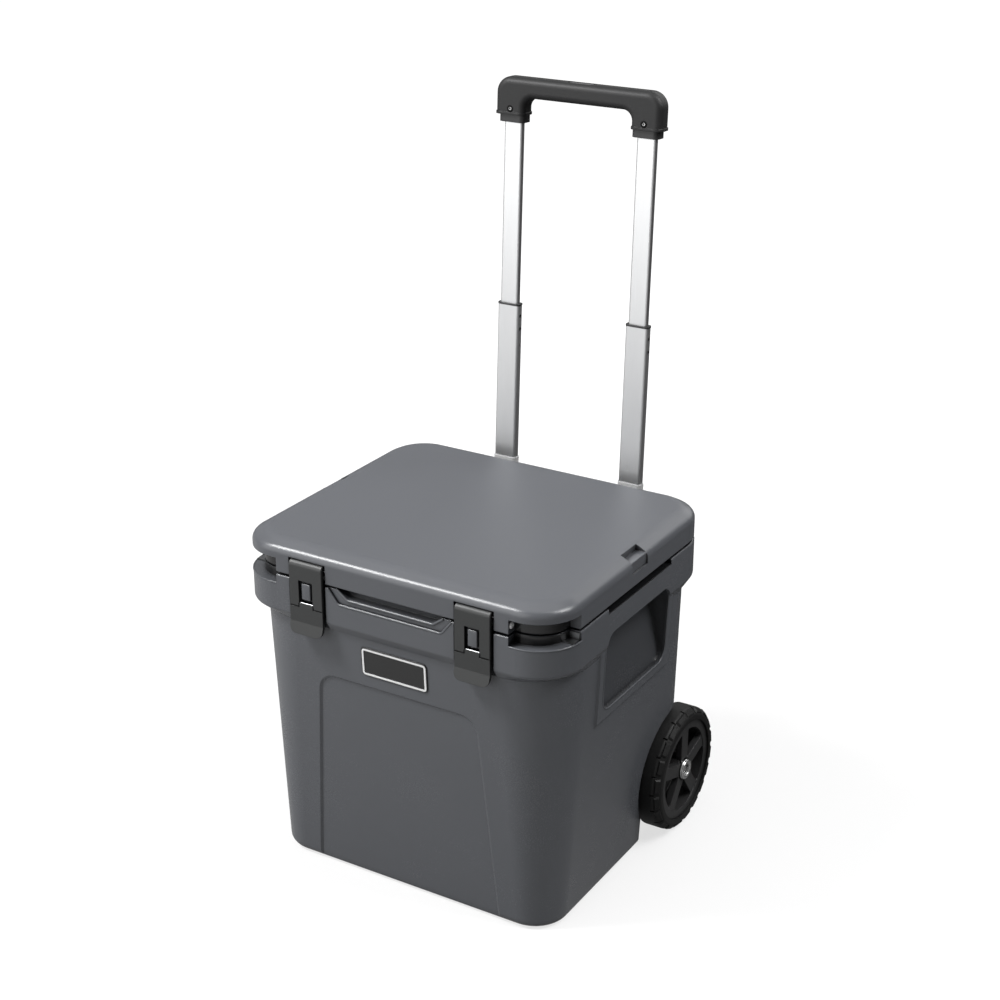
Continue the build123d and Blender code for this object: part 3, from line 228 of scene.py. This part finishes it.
# foam: small closed cells
def closedFoam(name, look):
    f = Finish(name)
    cells = f.node("ShaderNodeTexVoronoi", {"feature": "F1"},
                   {"Vector": f.place, "Scale": look["cellScale"]})
    f.set(Base_Color=f.tint(cells, look["colour"], shade(look["colour"], look["darker"])),
          Roughness=look["roughness"],
          Normal=f.bump(cells, look["cellDepth"], look["cellHeight"]))
    return f.material


plasticLook = {"cloudScale": 9.0, "cloudDetail": 3.0, "cloudAmount": 0.35, "cloudRough": 0.06,
               "grainScale": 950.0, "grainDepth": 0.10, "grainHeight": 0.0004, "grainRough": 0.06,
               "edgeRadius": 0.0014, "edgeAmount": 0.5, "edgePolish": 0.05, "gapReach": 0.014,
               "gapShade": 0.10, "lighter": 1.30, "roughness": 0.26, "specular": 0.5}
rubberLook = {"bloomScale": 45.0, "bloomDetail": 4.0, "bloom": 0.6, "bloomRough": 0.12,
              "grainScale": 900.0, "grainDepth": 0.2, "grainHeight": 0.0004,
              "edgeRadius": 0.0008, "edgeAmount": 0.3, "edgeRough": 0.05, "gapReach": 0.006,
              "gapShade": 0.2, "lighter": 1.4, "specular": 0.4}
metalLook = {"streakDetail": 3.0, "streakGrit": 0.6, "streakShare": 0.6, "streakRough": 0.14,
             "streakHeight": 0.0002, "broadScale": 60.0, "darker": 0.86}
tubeLook = {**metalLook, "streakScale": 900.0, "stretch": (1.0, 1.0, 0.008),
            "broadStretch": (1.0, 1.0, 0.04), "depth": 0.10, "gapReach": 0.004, "gapShade": 0.35}
steelLook = {**metalLook, "streakScale": 300.0, "stretch": (0.04, 1.0, 1.0),
             "broadStretch": (1.0, 1.0, 1.0), "depth": 0.08, "gapReach": 0.008, "gapShade": 0.12}
shellLook = {**plasticLook, "colour": (0.083, 0.087, 0.096), "cloudAmount": 0.25}
finishes = {
    "shell_plastic": mouldedPlastic("charcoalShell", shellLook),
    "dark_plastic": mouldedPlastic("blackFitting", {
        **plasticLook, "colour": (0.014, 0.014, 0.0145), "roughness": 0.42, "grainDepth": 0.3}),
    "grip_plastic": mouldedPlastic("softGrip", {
        **plasticLook, "colour": (0.011, 0.011, 0.0113), "roughness": 0.50, "grainDepth": 0.4,
        "grainScale": 700.0, "specular": 0.36}),
    "button_plastic": mouldedPlastic("greyButton", {**plasticLook, "colour": (0.10, 0.101, 0.103)}),
    "hub_plastic": mouldedPlastic("wheelDisc", {
        **plasticLook, "colour": (0.022, 0.022, 0.0225), "roughness": 0.44}),
    "bearing_plastic": mouldedPlastic("slidePlastic", {
        **plasticLook, "colour": (0.03, 0.03, 0.032), "roughness": 0.3, "grainDepth": 0.05}),
    "liner_plastic": mouldedPlastic("whiteLiner", {
        **plasticLook, "colour": (0.70, 0.71, 0.71), "lighter": 1.08, "roughness": 0.35}),
    "latch_rubber": mouldedRubber("latchRubber", {
        **rubberLook, "colour": (0.020, 0.021, 0.021), "bloomScale": 30.0, "grainScale": 1200.0,
        "roughness": 0.44, "specular": 0.5}),
    "seal_rubber": mouldedRubber("sealRubber", {
        **rubberLook, "colour": (0.03, 0.03, 0.03), "roughness": 0.6}),
    "tyre": mouldedRubber("tyreRubber", {
        **rubberLook, "colour": (0.006, 0.006, 0.006), "lighter": 2.0, "bloom": 0.8,
        "grainScale": 600.0, "grainDepth": 0.35, "roughness": 0.55, "specular": 0.28}),
    "aluminium": brushedMetal("satinTube", {**tubeLook, "colour": (0.65, 0.655, 0.66), "roughness": 0.46}),
    "stainless": brushedMetal("stainlessPlate", {
        **steelLook, "colour": (0.24, 0.245, 0.25), "roughness": 0.36}),
    "black_steel": brushedMetal("blackScrew", {
        **steelLook, "colour": (0.035, 0.035, 0.036), "roughness": 0.34}),
    "steel": brushedMetal("plainSteel", {**steelLook, "colour": (0.50, 0.51, 0.52), "roughness": 0.34}),
    "foam": closedFoam("insulationFoam", {
        "colour": (0.72, 0.64, 0.44), "darker": 0.8, "cellScale": 260.0, "cellDepth": 0.5,
        "cellHeight": 0.001, "roughness": 0.85}),
}
# upper tubes are polished brighter than the ones they slide in
brightTube = brushedMetal("brightTube", {**tubeLook, "colour": (0.70, 0.705, 0.71), "roughness": 0.36})
# painted shade on the tub's plastic: a darker inner wall in the handholds and a dark slot over each handhold
# bar
tubShell = mouldedPlastic("charcoalTub", {**shellLook, "shadeBoxes": [
    {"x": (0.2000, 0.2205), "lean": 0.0521, "y": (-0.0812, 0.0972), "z": (0.2918, 0.4052), "shade": 0.55},
    {"x": (0.2320, 0.3000), "lean": 0.0, "y": (-0.0802, 0.0962), "z": (0.4352, 0.4422), "shade": 0.05}]})
# the lid's flat top is duller than its rounded edges: from and to a height, and how much rougher
lidShell = mouldedPlastic("charcoalLid", {**shellLook, "roughness": 0.30, "dullTop": (0.4866, 0.4881, 0.24)})
brightBolt = brushedMetal("brightBolt", {**steelLook, "colour": (0.86, 0.86, 0.86), "roughness": 0.26})
# painted shade: a near-black finish for pieces that stand in for the shade in seams and round screws
shadowBlack = mouldedRubber("shadowBlack", {
    **rubberLook, "colour": (0.002, 0.002, 0.002), "roughness": 0.7, "specular": 0.15})
paleCollar = brushedMetal("paleCollar", {
    **tubeLook, "colour": (0.93, 0.93, 0.93), "roughness": 0.66, "gapShade": 0.8})
ownFinish = {"tub_shell": tubShell, "lid_shell": lidShell, "grip_screws": brightBolt}
for name in sides:
    ownFinish.update({name + "_inner_tube": brightTube, name + "_mouth_collar": paleCollar,
                      name + "_axle_bolt": brightBolt})
for entry in frame["record"]["subparts"]:
    mesh = nodes[entry["node"]].data
    mesh.materials.clear()
    mesh.materials.append(ownFinish.get(entry["node"], finishes[entry["material_slot"]]))
print("finishes on", len(nodes), "nodes")


# makes a finished mesh a piece that rides on a body
def settle(name, mesh, materials, body):
    data = bpy.data.meshes.new(name)
    mesh.to_mesh(data)
    mesh.free()
    for material in materials:
        data.materials.append(material)
    piece = bpy.data.objects.new(name, data)
    scene.collection.objects.link(piece)
    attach(piece, body)
    print(name, len(data.polygons), "faces")


# bare badge on the front wall: black field in a pale raised border
badge = {"width": 0.102, "height": 0.042, "corner": 0.006, "leastCorner": 0.0008, "cornerSteps": 6,
         "border": 0.0028, "edge": 0.0016, "thick": 0.0014, "round": 0.0004, "sink": 0.0005,
         "proud": 0.0002, "centreZ": 0.345, "wallY": -0.2014, "lean": math.radians(3.28)}
badgeFinishes = [
    mouldedPlastic("badgeField", {
        **plasticLook, "colour": (0.012, 0.012, 0.012), "roughness": 0.35, "grainDepth": 0.08}),
    mouldedPlastic("badgeBorder", {
        **plasticLook, "colour": (0.78, 0.78, 0.78), "lighter": 1.05, "roughness": 0.4, "grainDepth": 0.05}),
]


def roundedLoop(width, height, corner, steps):
    points = []
    for cx, cy, start in ((1, 1, 0), (-1, 1, 90), (-1, -1, 180), (1, -1, 270)):
        for i in range(steps + 1):
            angle = math.radians(start + 90 * i / steps)
            points.append((cx * (width / 2 - corner) + corner * math.cos(angle),
                           cy * (height / 2 - corner) + corner * math.sin(angle)))
    return points


def makeBadge(look):
    mesh = bmesh.new()
    lift, raised, field = look["thick"], look["thick"] + look["proud"], look["edge"] + look["border"]
    # inset, height and finish of each step, from the wall to the field
    steps = [(0, 0, 0), (0, lift - look["round"], 0), (look["round"], lift, 0), (look["edge"], lift, 0),
             (look["edge"], raised, 1), (field, raised, 1), (field, lift - look["sink"], 0)]
    loops = []
    for inset, height, _ in steps:
        outline = roundedLoop(look["width"] - 2 * inset, look["height"] - 2 * inset,
                              max(look["corner"] - inset, look["leastCorner"]), look["cornerSteps"])
        loops.append([mesh.verts.new((x, -height, z)) for x, z in outline])
    for a, b, (_, _, finish) in zip(loops, loops[1:], steps[1:]):
        for i in range(len(a)):
            j = (i + 1) % len(a)
            mesh.faces.new((a[i], a[j], b[j], b[i])).material_index = finish
    mesh.faces.new(loops[-1])
    mesh.faces.new(list(reversed(loops[0])))
    bmesh.ops.recalc_face_normals(mesh, faces=mesh.faces)
    bmesh.ops.transform(mesh, verts=mesh.verts,
                        matrix=Matrix.Translation((0, look["wallY"], look["centreZ"]))
                        @ Matrix.Rotation(look["lean"], 4, "X"))
    return mesh


settle("frontBadge", makeBadge(badge), badgeFinishes, "tub")


# geometry trees: named sizes in, realised mesh with its material out
class Tree:
    def __init__(self, name, sizes):
        self.group = bpy.data.node_groups.new(name, "GeometryNodeTree")
        sockets = self.group.interface
        sockets.new_socket("Geometry", in_out="OUTPUT", socket_type="NodeSocketGeometry")
        sockets.new_socket("Geometry", in_out="INPUT", socket_type="NodeSocketGeometry")
        self.keys = {}
        for label, kind in sizes.items():
            socket = sockets.new_socket(label, in_out="INPUT", socket_type="NodeSocket" + kind)
            self.keys[label] = socket.identifier
        self.size = self.group.nodes.new("NodeGroupInput").outputs

    def node(self, kind, settings=None, inputs=None, out=0):
        made = self.group.nodes.new(kind)
        for key, value in (settings or {}).items():
            setattr(made, key, value)
        for key, value in (inputs or {}).items():
            if isinstance(value, bpy.types.NodeSocket):
                self.group.links.new(value, made.inputs[key])
            else:
                made.inputs[key].default_value = value
        return made.outputs[out]

    def close(self, instances):
        solid = self.node("GeometryNodeRealizeInstances", None, {"Geometry": instances})
        dressed = self.node("GeometryNodeSetMaterial", None,
                            {"Geometry": solid, "Material": self.size["Material"]})
        self.group.links.new(dressed, self.group.nodes.new("NodeGroupOutput").inputs[0])

    # runs the tree on points and keeps the plain mesh
    def grow(self, name, values, body, slot, points=((0, 0, 0),), facing=None, edges=()):
        seed = bpy.data.meshes.new(name)
        seed.from_pydata(points, edges, [])
        if facing:
            seed.attributes.new("facing", "FLOAT_VECTOR", "POINT").data.foreach_set(
                "vector", [c for way in facing for c in way])
        piece = bpy.data.objects.new(name, seed)
        scene.collection.objects.link(piece)
        steps = piece.modifiers.new("grow", "NODES")
        steps.node_group = self.group
        for label, value in values.items():
            steps[self.keys[label]] = value
        grown = piece.evaluated_get(bpy.context.evaluated_depsgraph_get())
        shape = bpy.data.meshes.new_from_object(grown)
        piece.modifiers.remove(steps)
        piece.data = shape
        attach(piece, body)
        print(name, len(shape.polygons), "faces")


# rounded rings set on points, each turned to its own facing
ringMesh = {"round": 32, "section": 12}
rings = Tree("ringsOnPoints", {"Ring Radius": "Float", "Wall": "Float", "Depth": "Float",
                               "Material": "Material"})
hoop = rings.node("GeometryNodeCurvePrimitiveCircle", None,
                  {"Resolution": ringMesh["round"], "Radius": rings.size["Ring Radius"]})
band = rings.node("GeometryNodeCurvePrimitiveCircle", None,
                  {"Resolution": ringMesh["section"], "Radius": 0.5})
flat = rings.node("ShaderNodeCombineXYZ", None, {0: rings.size["Wall"], 1: rings.size["Depth"], 2: 1.0})
band = rings.node("GeometryNodeTransform", None, {"Geometry": band, "Scale": flat})
ring = rings.node("GeometryNodeCurveToMesh", None, {"Curve": hoop, "Profile Curve": band})
way = rings.node("GeometryNodeInputNamedAttribute", {"data_type": "FLOAT_VECTOR"}, {"Name": "facing"})
turn = rings.node("FunctionNodeAlignRotationToVector", {"axis": "Z"}, {"Vector": way})
rings.close(rings.node("GeometryNodeInstanceOnPoints", None,
                       {"Points": rings.size["Geometry"], "Instance": ring, "Rotation": turn}))


def ringSizes(look, material):
    return {"Ring Radius": look["radius"], "Wall": look["wall"], "Depth": look["depth"], "Material": material}


# bead that follows a path with rounded corners
beadMesh = {"cornerSteps": 8, "section": 14}
beads = Tree("beadOnPath", {"Bead Radius": "Float", "Corner": "Float", "Material": "Material"})
path = beads.node("GeometryNodeMeshToCurve", None, {"Mesh": beads.size["Geometry"]})
path = beads.node("GeometryNodeFilletCurve", {"mode": "POLY"},
                  {"Curve": path, "Count": beadMesh["cornerSteps"], "Radius": beads.size["Corner"]})
bead = beads.node("GeometryNodeCurvePrimitiveCircle", None,
                  {"Resolution": beadMesh["section"], "Radius": beads.size["Bead Radius"]})
beads.close(beads.node("GeometryNodeCurveToMesh", None,
                       {"Curve": path, "Profile Curve": bead, "Fill Caps": True}))


# edges that join a number of points in a row, once for each row
def rows(count, length):
    return [(row * length + i, row * length + i + 1) for row in range(count) for i in range(length - 1)]


# blocks set round a tyre's rounded shoulder, narrower at the top than at the foot
lugBlock = {"sides": 4, "foot": 0.707, "top": 0.54}
lugs = Tree("lugsRoundTyre", {"Lugs": "Int", "Radius": "Float", "Start": "Float", "Lug Width": "Float",
                              "Lug Length": "Float", "Lug Height": "Float", "Slope": "Float",
                              "Turn": "Vector", "Centre": "Vector", "Material": "Material"})
circle = lugs.node("GeometryNodeMeshCircle", None,
                   {"Vertices": lugs.size["Lugs"], "Radius": lugs.size["Radius"]})
start = lugs.node("ShaderNodeCombineXYZ", None, {2: lugs.size["Start"]})
circle = lugs.node("GeometryNodeTransform", None, {"Geometry": circle, "Rotation": start})
block = lugs.node("GeometryNodeMeshCone", None,
                  {"Vertices": lugBlock["sides"], "Radius Top": lugBlock["top"],
                   "Radius Bottom": lugBlock["foot"], "Depth": 1.0})
block = lugs.node("GeometryNodeTransform", None, {"Geometry": block, "Rotation": (0, 0, math.pi / 4)})
shape = lugs.node("ShaderNodeCombineXYZ", None,
                  {0: lugs.size["Lug Width"], 1: lugs.size["Lug Length"], 2: lugs.size["Lug Height"]})
block = lugs.node("GeometryNodeTransform", None, {"Geometry": block, "Scale": shape})
spot = lugs.node("GeometryNodeInputPosition")
outward = lugs.node("ShaderNodeVectorMath", {"operation": "NORMALIZE"}, {0: spot})
tangent = lugs.node("ShaderNodeVectorMath", {"operation": "CROSS_PRODUCT"}, {0: (0, 0, 1), 1: outward})
rise = lugs.node("ShaderNodeCombineXYZ", None, {2: lugs.size["Slope"]})
normal = lugs.node("ShaderNodeVectorMath", {"operation": "ADD"}, {0: outward, 1: rise})
level = lugs.node("FunctionNodeAlignRotationToVector", {"axis": "X"}, {"Vector": tangent})
turned = lugs.node("FunctionNodeAlignRotationToVector", {"axis": "Z", "pivot_axis": "X"},
                   {"Rotation": level, "Vector": normal})
ringOf = lugs.node("GeometryNodeInstanceOnPoints", None,
                   {"Points": circle, "Instance": block, "Rotation": turned})
lugs.close(lugs.node("GeometryNodeTransform", None,
                     {"Geometry": ringOf, "Rotation": lugs.size["Turn"], "Translation": lugs.size["Centre"]}))

# block tread on the outer shoulder of both tyres
tread = {"inset": 0.0050,
         "sizes": {"Lugs": 20, "Radius": 0.0850, "Start": math.radians(9.0), "Lug Width": 0.0222,
                   "Lug Length": 0.0088, "Lug Height": 0.0024, "Slope": 1.0}}
for name, side in sides.items():
    low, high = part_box(name + "_tyre")
    face = (high if side > 0 else low)[0]
    centre = (face - side * tread["inset"], (low[1] + high[1]) / 2, (low[2] + high[2]) / 2)
    lugs.grow(name + "Tread", {**tread["sizes"], "Turn": (0, side * math.pi / 2, 0), "Centre": centre,
                               "Material": finishes["tyre"]}, name + "_wheel", "tyre")

# dark rings in the lock holes of the lower tubes
lockHoles = {"drops": (0.0155, 0.0345), "radius": 0.0023, "wall": 0.0005, "depth": 0.0014,
             "tubeHalfDepth": 0.00675, "tubeHalfWidth": 0.0171, "rake": math.radians(2.5)}
rakeSin, rakeCos = math.sin(lockHoles["rake"]), math.cos(lockHoles["rake"])
spots, ways = [], []
for name in sides:
    low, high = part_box(name + "_mid_tube")
    top = Vector(((low[0] + high[0]) / 2, high[1] - lockHoles["tubeHalfDepth"] * rakeCos,
                  high[2] - lockHoles["tubeHalfDepth"] * rakeSin))
    for drop in lockHoles["drops"]:
        centre = top - drop * Vector((0, rakeSin, rakeCos))
        for way in (-1, 1):
            out = lockHoles["tubeHalfWidth"] - lockHoles["depth"] / 2
            spots.append((centre.x + way * out, centre.y, centre.z))
            ways.append((way, 0, 0))
rings.grow("lockHoleRings", ringSizes(lockHoles, finishes["dark_plastic"]), "handle_mid", "dark_plastic",
           spots, ways)

# pale studs at the front end of the lid's corner recesses
stud = {"x": 0.1767, "y": -0.2045, "z": 0.4560, "radius": 0.0023, "wall": 0.0045, "depth": 0.0042}
paleStud = mouldedPlastic("paleStud", {
    **plasticLook, "colour": (0.88, 0.88, 0.88), "lighter": 1.05, "gapShade": 0.9})
rings.grow("cornerStuds", ringSizes(stud, paleStud), "lid", "liner_plastic",
           [(side * stud["x"], stud["y"], stud["z"]) for side in (-1, 1)],
           [(side, 0, 0) for side in (-1, 1)])

# painted shade: dark cups round the grip's screws, standing in for the shade of their countersinks
cup = {"x": 0.103, "sink": 0.00016, "radius": 0.0034, "wall": 0.0030, "depth": 0.0014,
       "rake": math.radians(2.5)}
low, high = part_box("grip_screws")
cupWay = (0, -math.cos(cup["rake"]), math.sin(cup["rake"]))
rings.grow("gripScrewCups", ringSizes(cup, shadowBlack), "handle_top", "dark_plastic",
           [(side * cup["x"], low[1] + cup["sink"], (low[2] + high[2]) / 2) for side in (-1, 1)],
           [cupWay, cupWay])

# bright rings on the axle bolts
boltRing = {"radius": 0.0118, "wall": 0.0054, "depth": 0.0036}
spots, ways = [], []
for name, side in sides.items():
    low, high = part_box(name + "_axle_bolt")
    spots.append(((high if side > 0 else low)[0], (low[1] + high[1]) / 2, (low[2] + high[2]) / 2))
    ways.append((side, 0, 0))
rings.grow("axleBoltRings", ringSizes(boltRing, brightBolt), "tub", "steel", spots, ways)

# rounded lips of the finger scoop, along its two steps
scoop = {"top": 0.4416, "corner": 0.0085,
         "inner": {"topHalf": 0.0812, "footHalf": 0.0652, "foot": 0.4298, "y": -0.2086, "bead": 0.0020},
         "outer": {"topHalf": 0.0950, "footHalf": 0.0790, "foot": 0.4215, "y": -0.2108, "bead": 0.0019}}
for name in ("inner", "outer"):
    lip = scoop[name]
    line = [(-lip["topHalf"], lip["y"], scoop["top"]), (-lip["footHalf"], lip["y"], lip["foot"]),
            (lip["footHalf"], lip["y"], lip["foot"]), (lip["topHalf"], lip["y"], scoop["top"])]
    beads.grow(name + "ScoopLip", {"Bead Radius": lip["bead"], "Corner": scoop["corner"],
                                   "Material": finishes["shell_plastic"]},
               "tub", "shell_plastic", line, edges=rows(1, len(line)))


# dark glossy bands on the back wall of the corner recesses, and the rounded lip under them
recess = {"startX": 0.1772, "centreX": 0.1857, "centreY": -0.1520, "wallRadius": 0.0440,
          "rimRadius": 0.0600, "thick": 0.0004, "tub": (0.4302, 0.4419), "lid": (0.4457, 0.4640),
          "lipZ": 0.4292, "lip": 0.0014, "lipCorner": 0.0005, "lipSink": 0.7, "steps": 14}


def cornerPath(look, radius):
    points = [(look["startX"], look["centreY"] - radius)]
    for i in range(look["steps"] + 1):
        angle = math.radians(-90 + 90 * i / look["steps"])
        points.append((look["centreX"] + radius * math.cos(angle),
                       look["centreY"] + radius * math.sin(angle)))
    return points


def makeBands(look, levels):
    mesh = bmesh.new()
    inner, outer = (cornerPath(look, look["wallRadius"] + grow) for grow in (0, look["thick"]))
    low, high = levels
    for side in (-1, 1):
        lines = [[mesh.verts.new((side * x, y, level)) for x, y in line]
                 for line, level in ((inner, low), (inner, high), (outer, high), (outer, low))]
        for a, b in zip(lines, lines[1:] + lines[:1]):
            for i in range(len(a) - 1):
                mesh.faces.new((a[i], a[i + 1], b[i + 1], b[i]))
        for end in (0, -1):
            mesh.faces.new([line[end] for line in lines])
    bmesh.ops.recalc_face_normals(mesh, faces=mesh.faces)
    return mesh


glossBand = mouldedPlastic("glossBand", {
    **plasticLook, "colour": (0.010, 0.010, 0.0105), "roughness": 0.2, "grainDepth": 0.03})
for body in ("tub", "lid"):
    settle(body + "CornerBands", makeBands(recess, recess[body]), [glossBand], body)
lipPath = cornerPath(recess, recess["rimRadius"])
beads.grow("cornerLips", {"Bead Radius": recess["lip"], "Corner": recess["lipCorner"],
                          "Material": finishes["shell_plastic"]}, "tub", "shell_plastic",
           [(side * x, y + recess["lip"] * recess["lipSink"], recess["lipZ"])
            for side in (-1, 1) for x, y in lipPath], edges=rows(2, len(lipPath)))

# rounded lips round the handhold openings
handhold = {"foot": (0.2389, 0.2920), "top": (0.2438, 0.4030), "front": -0.0810, "rear": 0.0970,
            "corner": 0.020, "bead": 0.0014}
corners = [("top", "front"), ("foot", "front"), ("foot", "rear"), ("top", "rear")]
beads.grow("handholdLips", {"Bead Radius": handhold["bead"], "Corner": handhold["corner"],
                            "Material": tubShell}, "tub", "shell_plastic",
           [(side * handhold[level][0], handhold[end], handhold[level][1])
            for side in (-1, 1) for level, end in corners], edges=rows(2, len(corners)))


# small blocks with rounded edges, all in one mesh; each block is its two corners
blockEdge = {"segments": 4, "profile": 0.5}


def roundedBlocks(blocks, edge):
    mesh = bmesh.new()
    for low, high in blocks:
        middle = [(a + b) / 2 for a, b in zip(low, high)]
        size = [b - a for a, b in zip(low, high)]
        bmesh.ops.create_cube(mesh, size=1.0,
                              matrix=Matrix.Translation(middle) @ Matrix.Diagonal((*size, 1)))
    bmesh.ops.bevel(mesh, geom=list(mesh.edges), offset=edge, affect="EDGES", **blockEdge)
    for face in mesh.faces:
        face.smooth = True
    return mesh


# keepers of the latches, which stand in the latch windows
keeper = {"x": 0.127, "half": 0.0070, "low": 0.4170, "high": 0.4405, "back": -0.2090, "front": -0.2153,
          "edge": 0.0015}
blocks = [((side * keeper["x"] - keeper["half"], keeper["front"], keeper["low"]),
           (side * keeper["x"] + keeper["half"], keeper["back"], keeper["high"])) for side in (-1, 1)]
settle("latchKeepers", roundedBlocks(blocks, keeper["edge"]), [finishes["shell_plastic"]],
       "tub")

# painted shadow: near-black strips along each latch plate's edge where it meets its pull tab, standing in for
# the shade in the seam
seamShadow = {"x": 0.127, "outer": 0.0249, "inner": 0.0110, "wide": 0.0013, "low": 0.4064, "tall": 0.0013,
             "step": 0.0050, "front": -0.2164, "back": -0.2150, "edge": 0.0003}
for name, side in sides.items():
    bars = []
    for way in (-1, 1):
        inner, stem, outer = (side * seamShadow["x"] + way * reach for reach in (
            seamShadow["inner"], seamShadow["inner"] + seamShadow["wide"], seamShadow["outer"]))
        for span, tall in ((sorted((inner, outer)), seamShadow["tall"]),
                           (sorted((inner, stem)), seamShadow["step"])):
            bars.append(((span[0], seamShadow["front"], seamShadow["low"]),
                         (span[1], seamShadow["back"], seamShadow["low"] + tall)))
    settle(name + "LatchSeam", roundedBlocks(bars, seamShadow["edge"]), [shadowBlack], name + "_latch")


# camera at the photograph's angle
view = {"at": (1.23173, -1.9769, 1.49218), "azimuth": 31.145, "elevation": 22.883, "lens": 68.04,
        "sensor": 36.0, "reach": 100.0}
az, el = math.radians(view["azimuth"]), math.radians(view["elevation"])
back = Vector((math.sin(az) * math.cos(el), -math.cos(az) * math.cos(el), math.sin(el)))
right = Vector((math.cos(az), math.sin(az), 0))
up = back.cross(right)
lensData = bpy.data.cameras.new("studioCamera")
lensData.lens = view["lens"]
lensData.sensor_width = view["sensor"]
lensData.clip_end = view["reach"]
camera = bpy.data.objects.new("studioCamera", lensData)
camera.matrix_world = Matrix.Translation(view["at"]) @ Matrix((right, up, back)).transposed().to_4x4()
scene.collection.objects.link(camera)
scene.camera = camera

# floor that reads white to the eye and keeps a soft shadow
# in reflections it is brightest in front on the left
floorLook = {"size": 40.0, "drop": 0.0006, "colour": (0.28, 0.28, 0.28), "roughness": 0.9, "specular": 0.1,
             "near": 0.70, "far": 1.0, "spread": (0.75, 2.4), "mirrorFront": 0.70, "mirrorBack": 0.05,
             "mirrorSpan": (-1.2, 0.9), "mirrorTurn": 0.45}
bpy.ops.mesh.primitive_plane_add(size=floorLook["size"], location=(0, 0, -floorLook["drop"]))
floor = bpy.context.object
floor.name = "studioFloor"
f = Finish("paleFloor")
seen = f.node("ShaderNodeLightPath", out="Is Camera Ray")
mirrored = f.node("ShaderNodeLightPath", out="Is Glossy Ray")
away = f.node("ShaderNodeVectorMath", {"operation": "LENGTH"}, {0: f.place}, out="Value")
spread = f.smooth(away, floorLook["spread"], (floorLook["near"], floorLook["far"]))
depth = f.smooth(f.along("Y") + f.along("X") * floorLook["mirrorTurn"], floorLook["mirrorSpan"],
                 (floorLook["mirrorFront"], floorLook["mirrorBack"]))
f.set(Base_Color=f.tint(mirrored, floorLook["colour"], (0, 0, 0)),
      Roughness=floorLook["roughness"],
      Specular_IOR_Level=floorLook["specular"],
      Emission_Color=f.tint(seen * spread + mirrored * depth, (0, 0, 0), (1, 1, 1)),
      Emission_Strength=1.0)
floor.data.materials.append(f.material)

# soft studio light: broad from the top and the left front, smaller from the right, weak from behind
lamps = [
    {"name": "topSoftbox", "at": (0, 0.1, 3.2), "aim": (0, 0, 0.4), "size": (2.6, 2.2), "power": 20},
    {"name": "edgeSoftbox", "at": (-1.75, -1.4, 3.1), "aim": (0, 0, 0.4), "size": (0.9, 0.8), "power": 110},
    {"name": "frontWall", "at": (-1.6, -3.0, 1.7), "aim": (0, 0, 0.5), "size": (4.4, 3.2), "power": 86},
    {"name": "rightSoftbox", "at": (2.0, 0.6, 2.8), "aim": (0, 0, 0.4), "size": (1.4, 1.4), "power": 78},
    {"name": "rearFill", "at": (0.4, 3.0, 2.0), "aim": (0, 0, 0.5), "size": (2.4, 2.0), "power": 22},
]
for lamp in lamps:
    data = bpy.data.lights.new(lamp["name"], "AREA")
    data.shape = "RECTANGLE"
    data.size, data.size_y = lamp["size"]
    data.energy = lamp["power"]
    light = bpy.data.objects.new(lamp["name"], data)
    light.location = lamp["at"]
    aim = Vector(lamp["aim"]) - Vector(lamp["at"])
    light.rotation_euler = aim.to_track_quat("-Z", "Y").to_euler()
    scene.collection.objects.link(light)

# white to the eye; in reflections pale overhead and in front, darker to the right and behind
worldLook = {"fill": 0.08, "mirrorBright": 0.40, "mirrorDark": 0.08, "across": 0.8, "behind": 0.5,
             "span": (-0.2, 0.8)}
w = Finish("studioWorld", bpy.data.worlds.new("studioWorld"), "Background", "Generated")
scene.world = w.material
seen = w.node("ShaderNodeLightPath", out="Is Camera Ray")
mirrored = w.node("ShaderNodeLightPath", out="Is Glossy Ray")
aside = w.smooth(w.along("X") * worldLook["across"] + w.along("Y") * worldLook["behind"], worldLook["span"],
                 (worldLook["mirrorBright"], worldLook["mirrorDark"]))
w.set(Color=(1, 1, 1, 1), Strength=worldLook["fill"] + seen * (1 - worldLook["fill"])
      + mirrored * (aside - worldLook["fill"]))
scene.view_settings.view_transform = "Standard"
print("stage, camera and lights set")
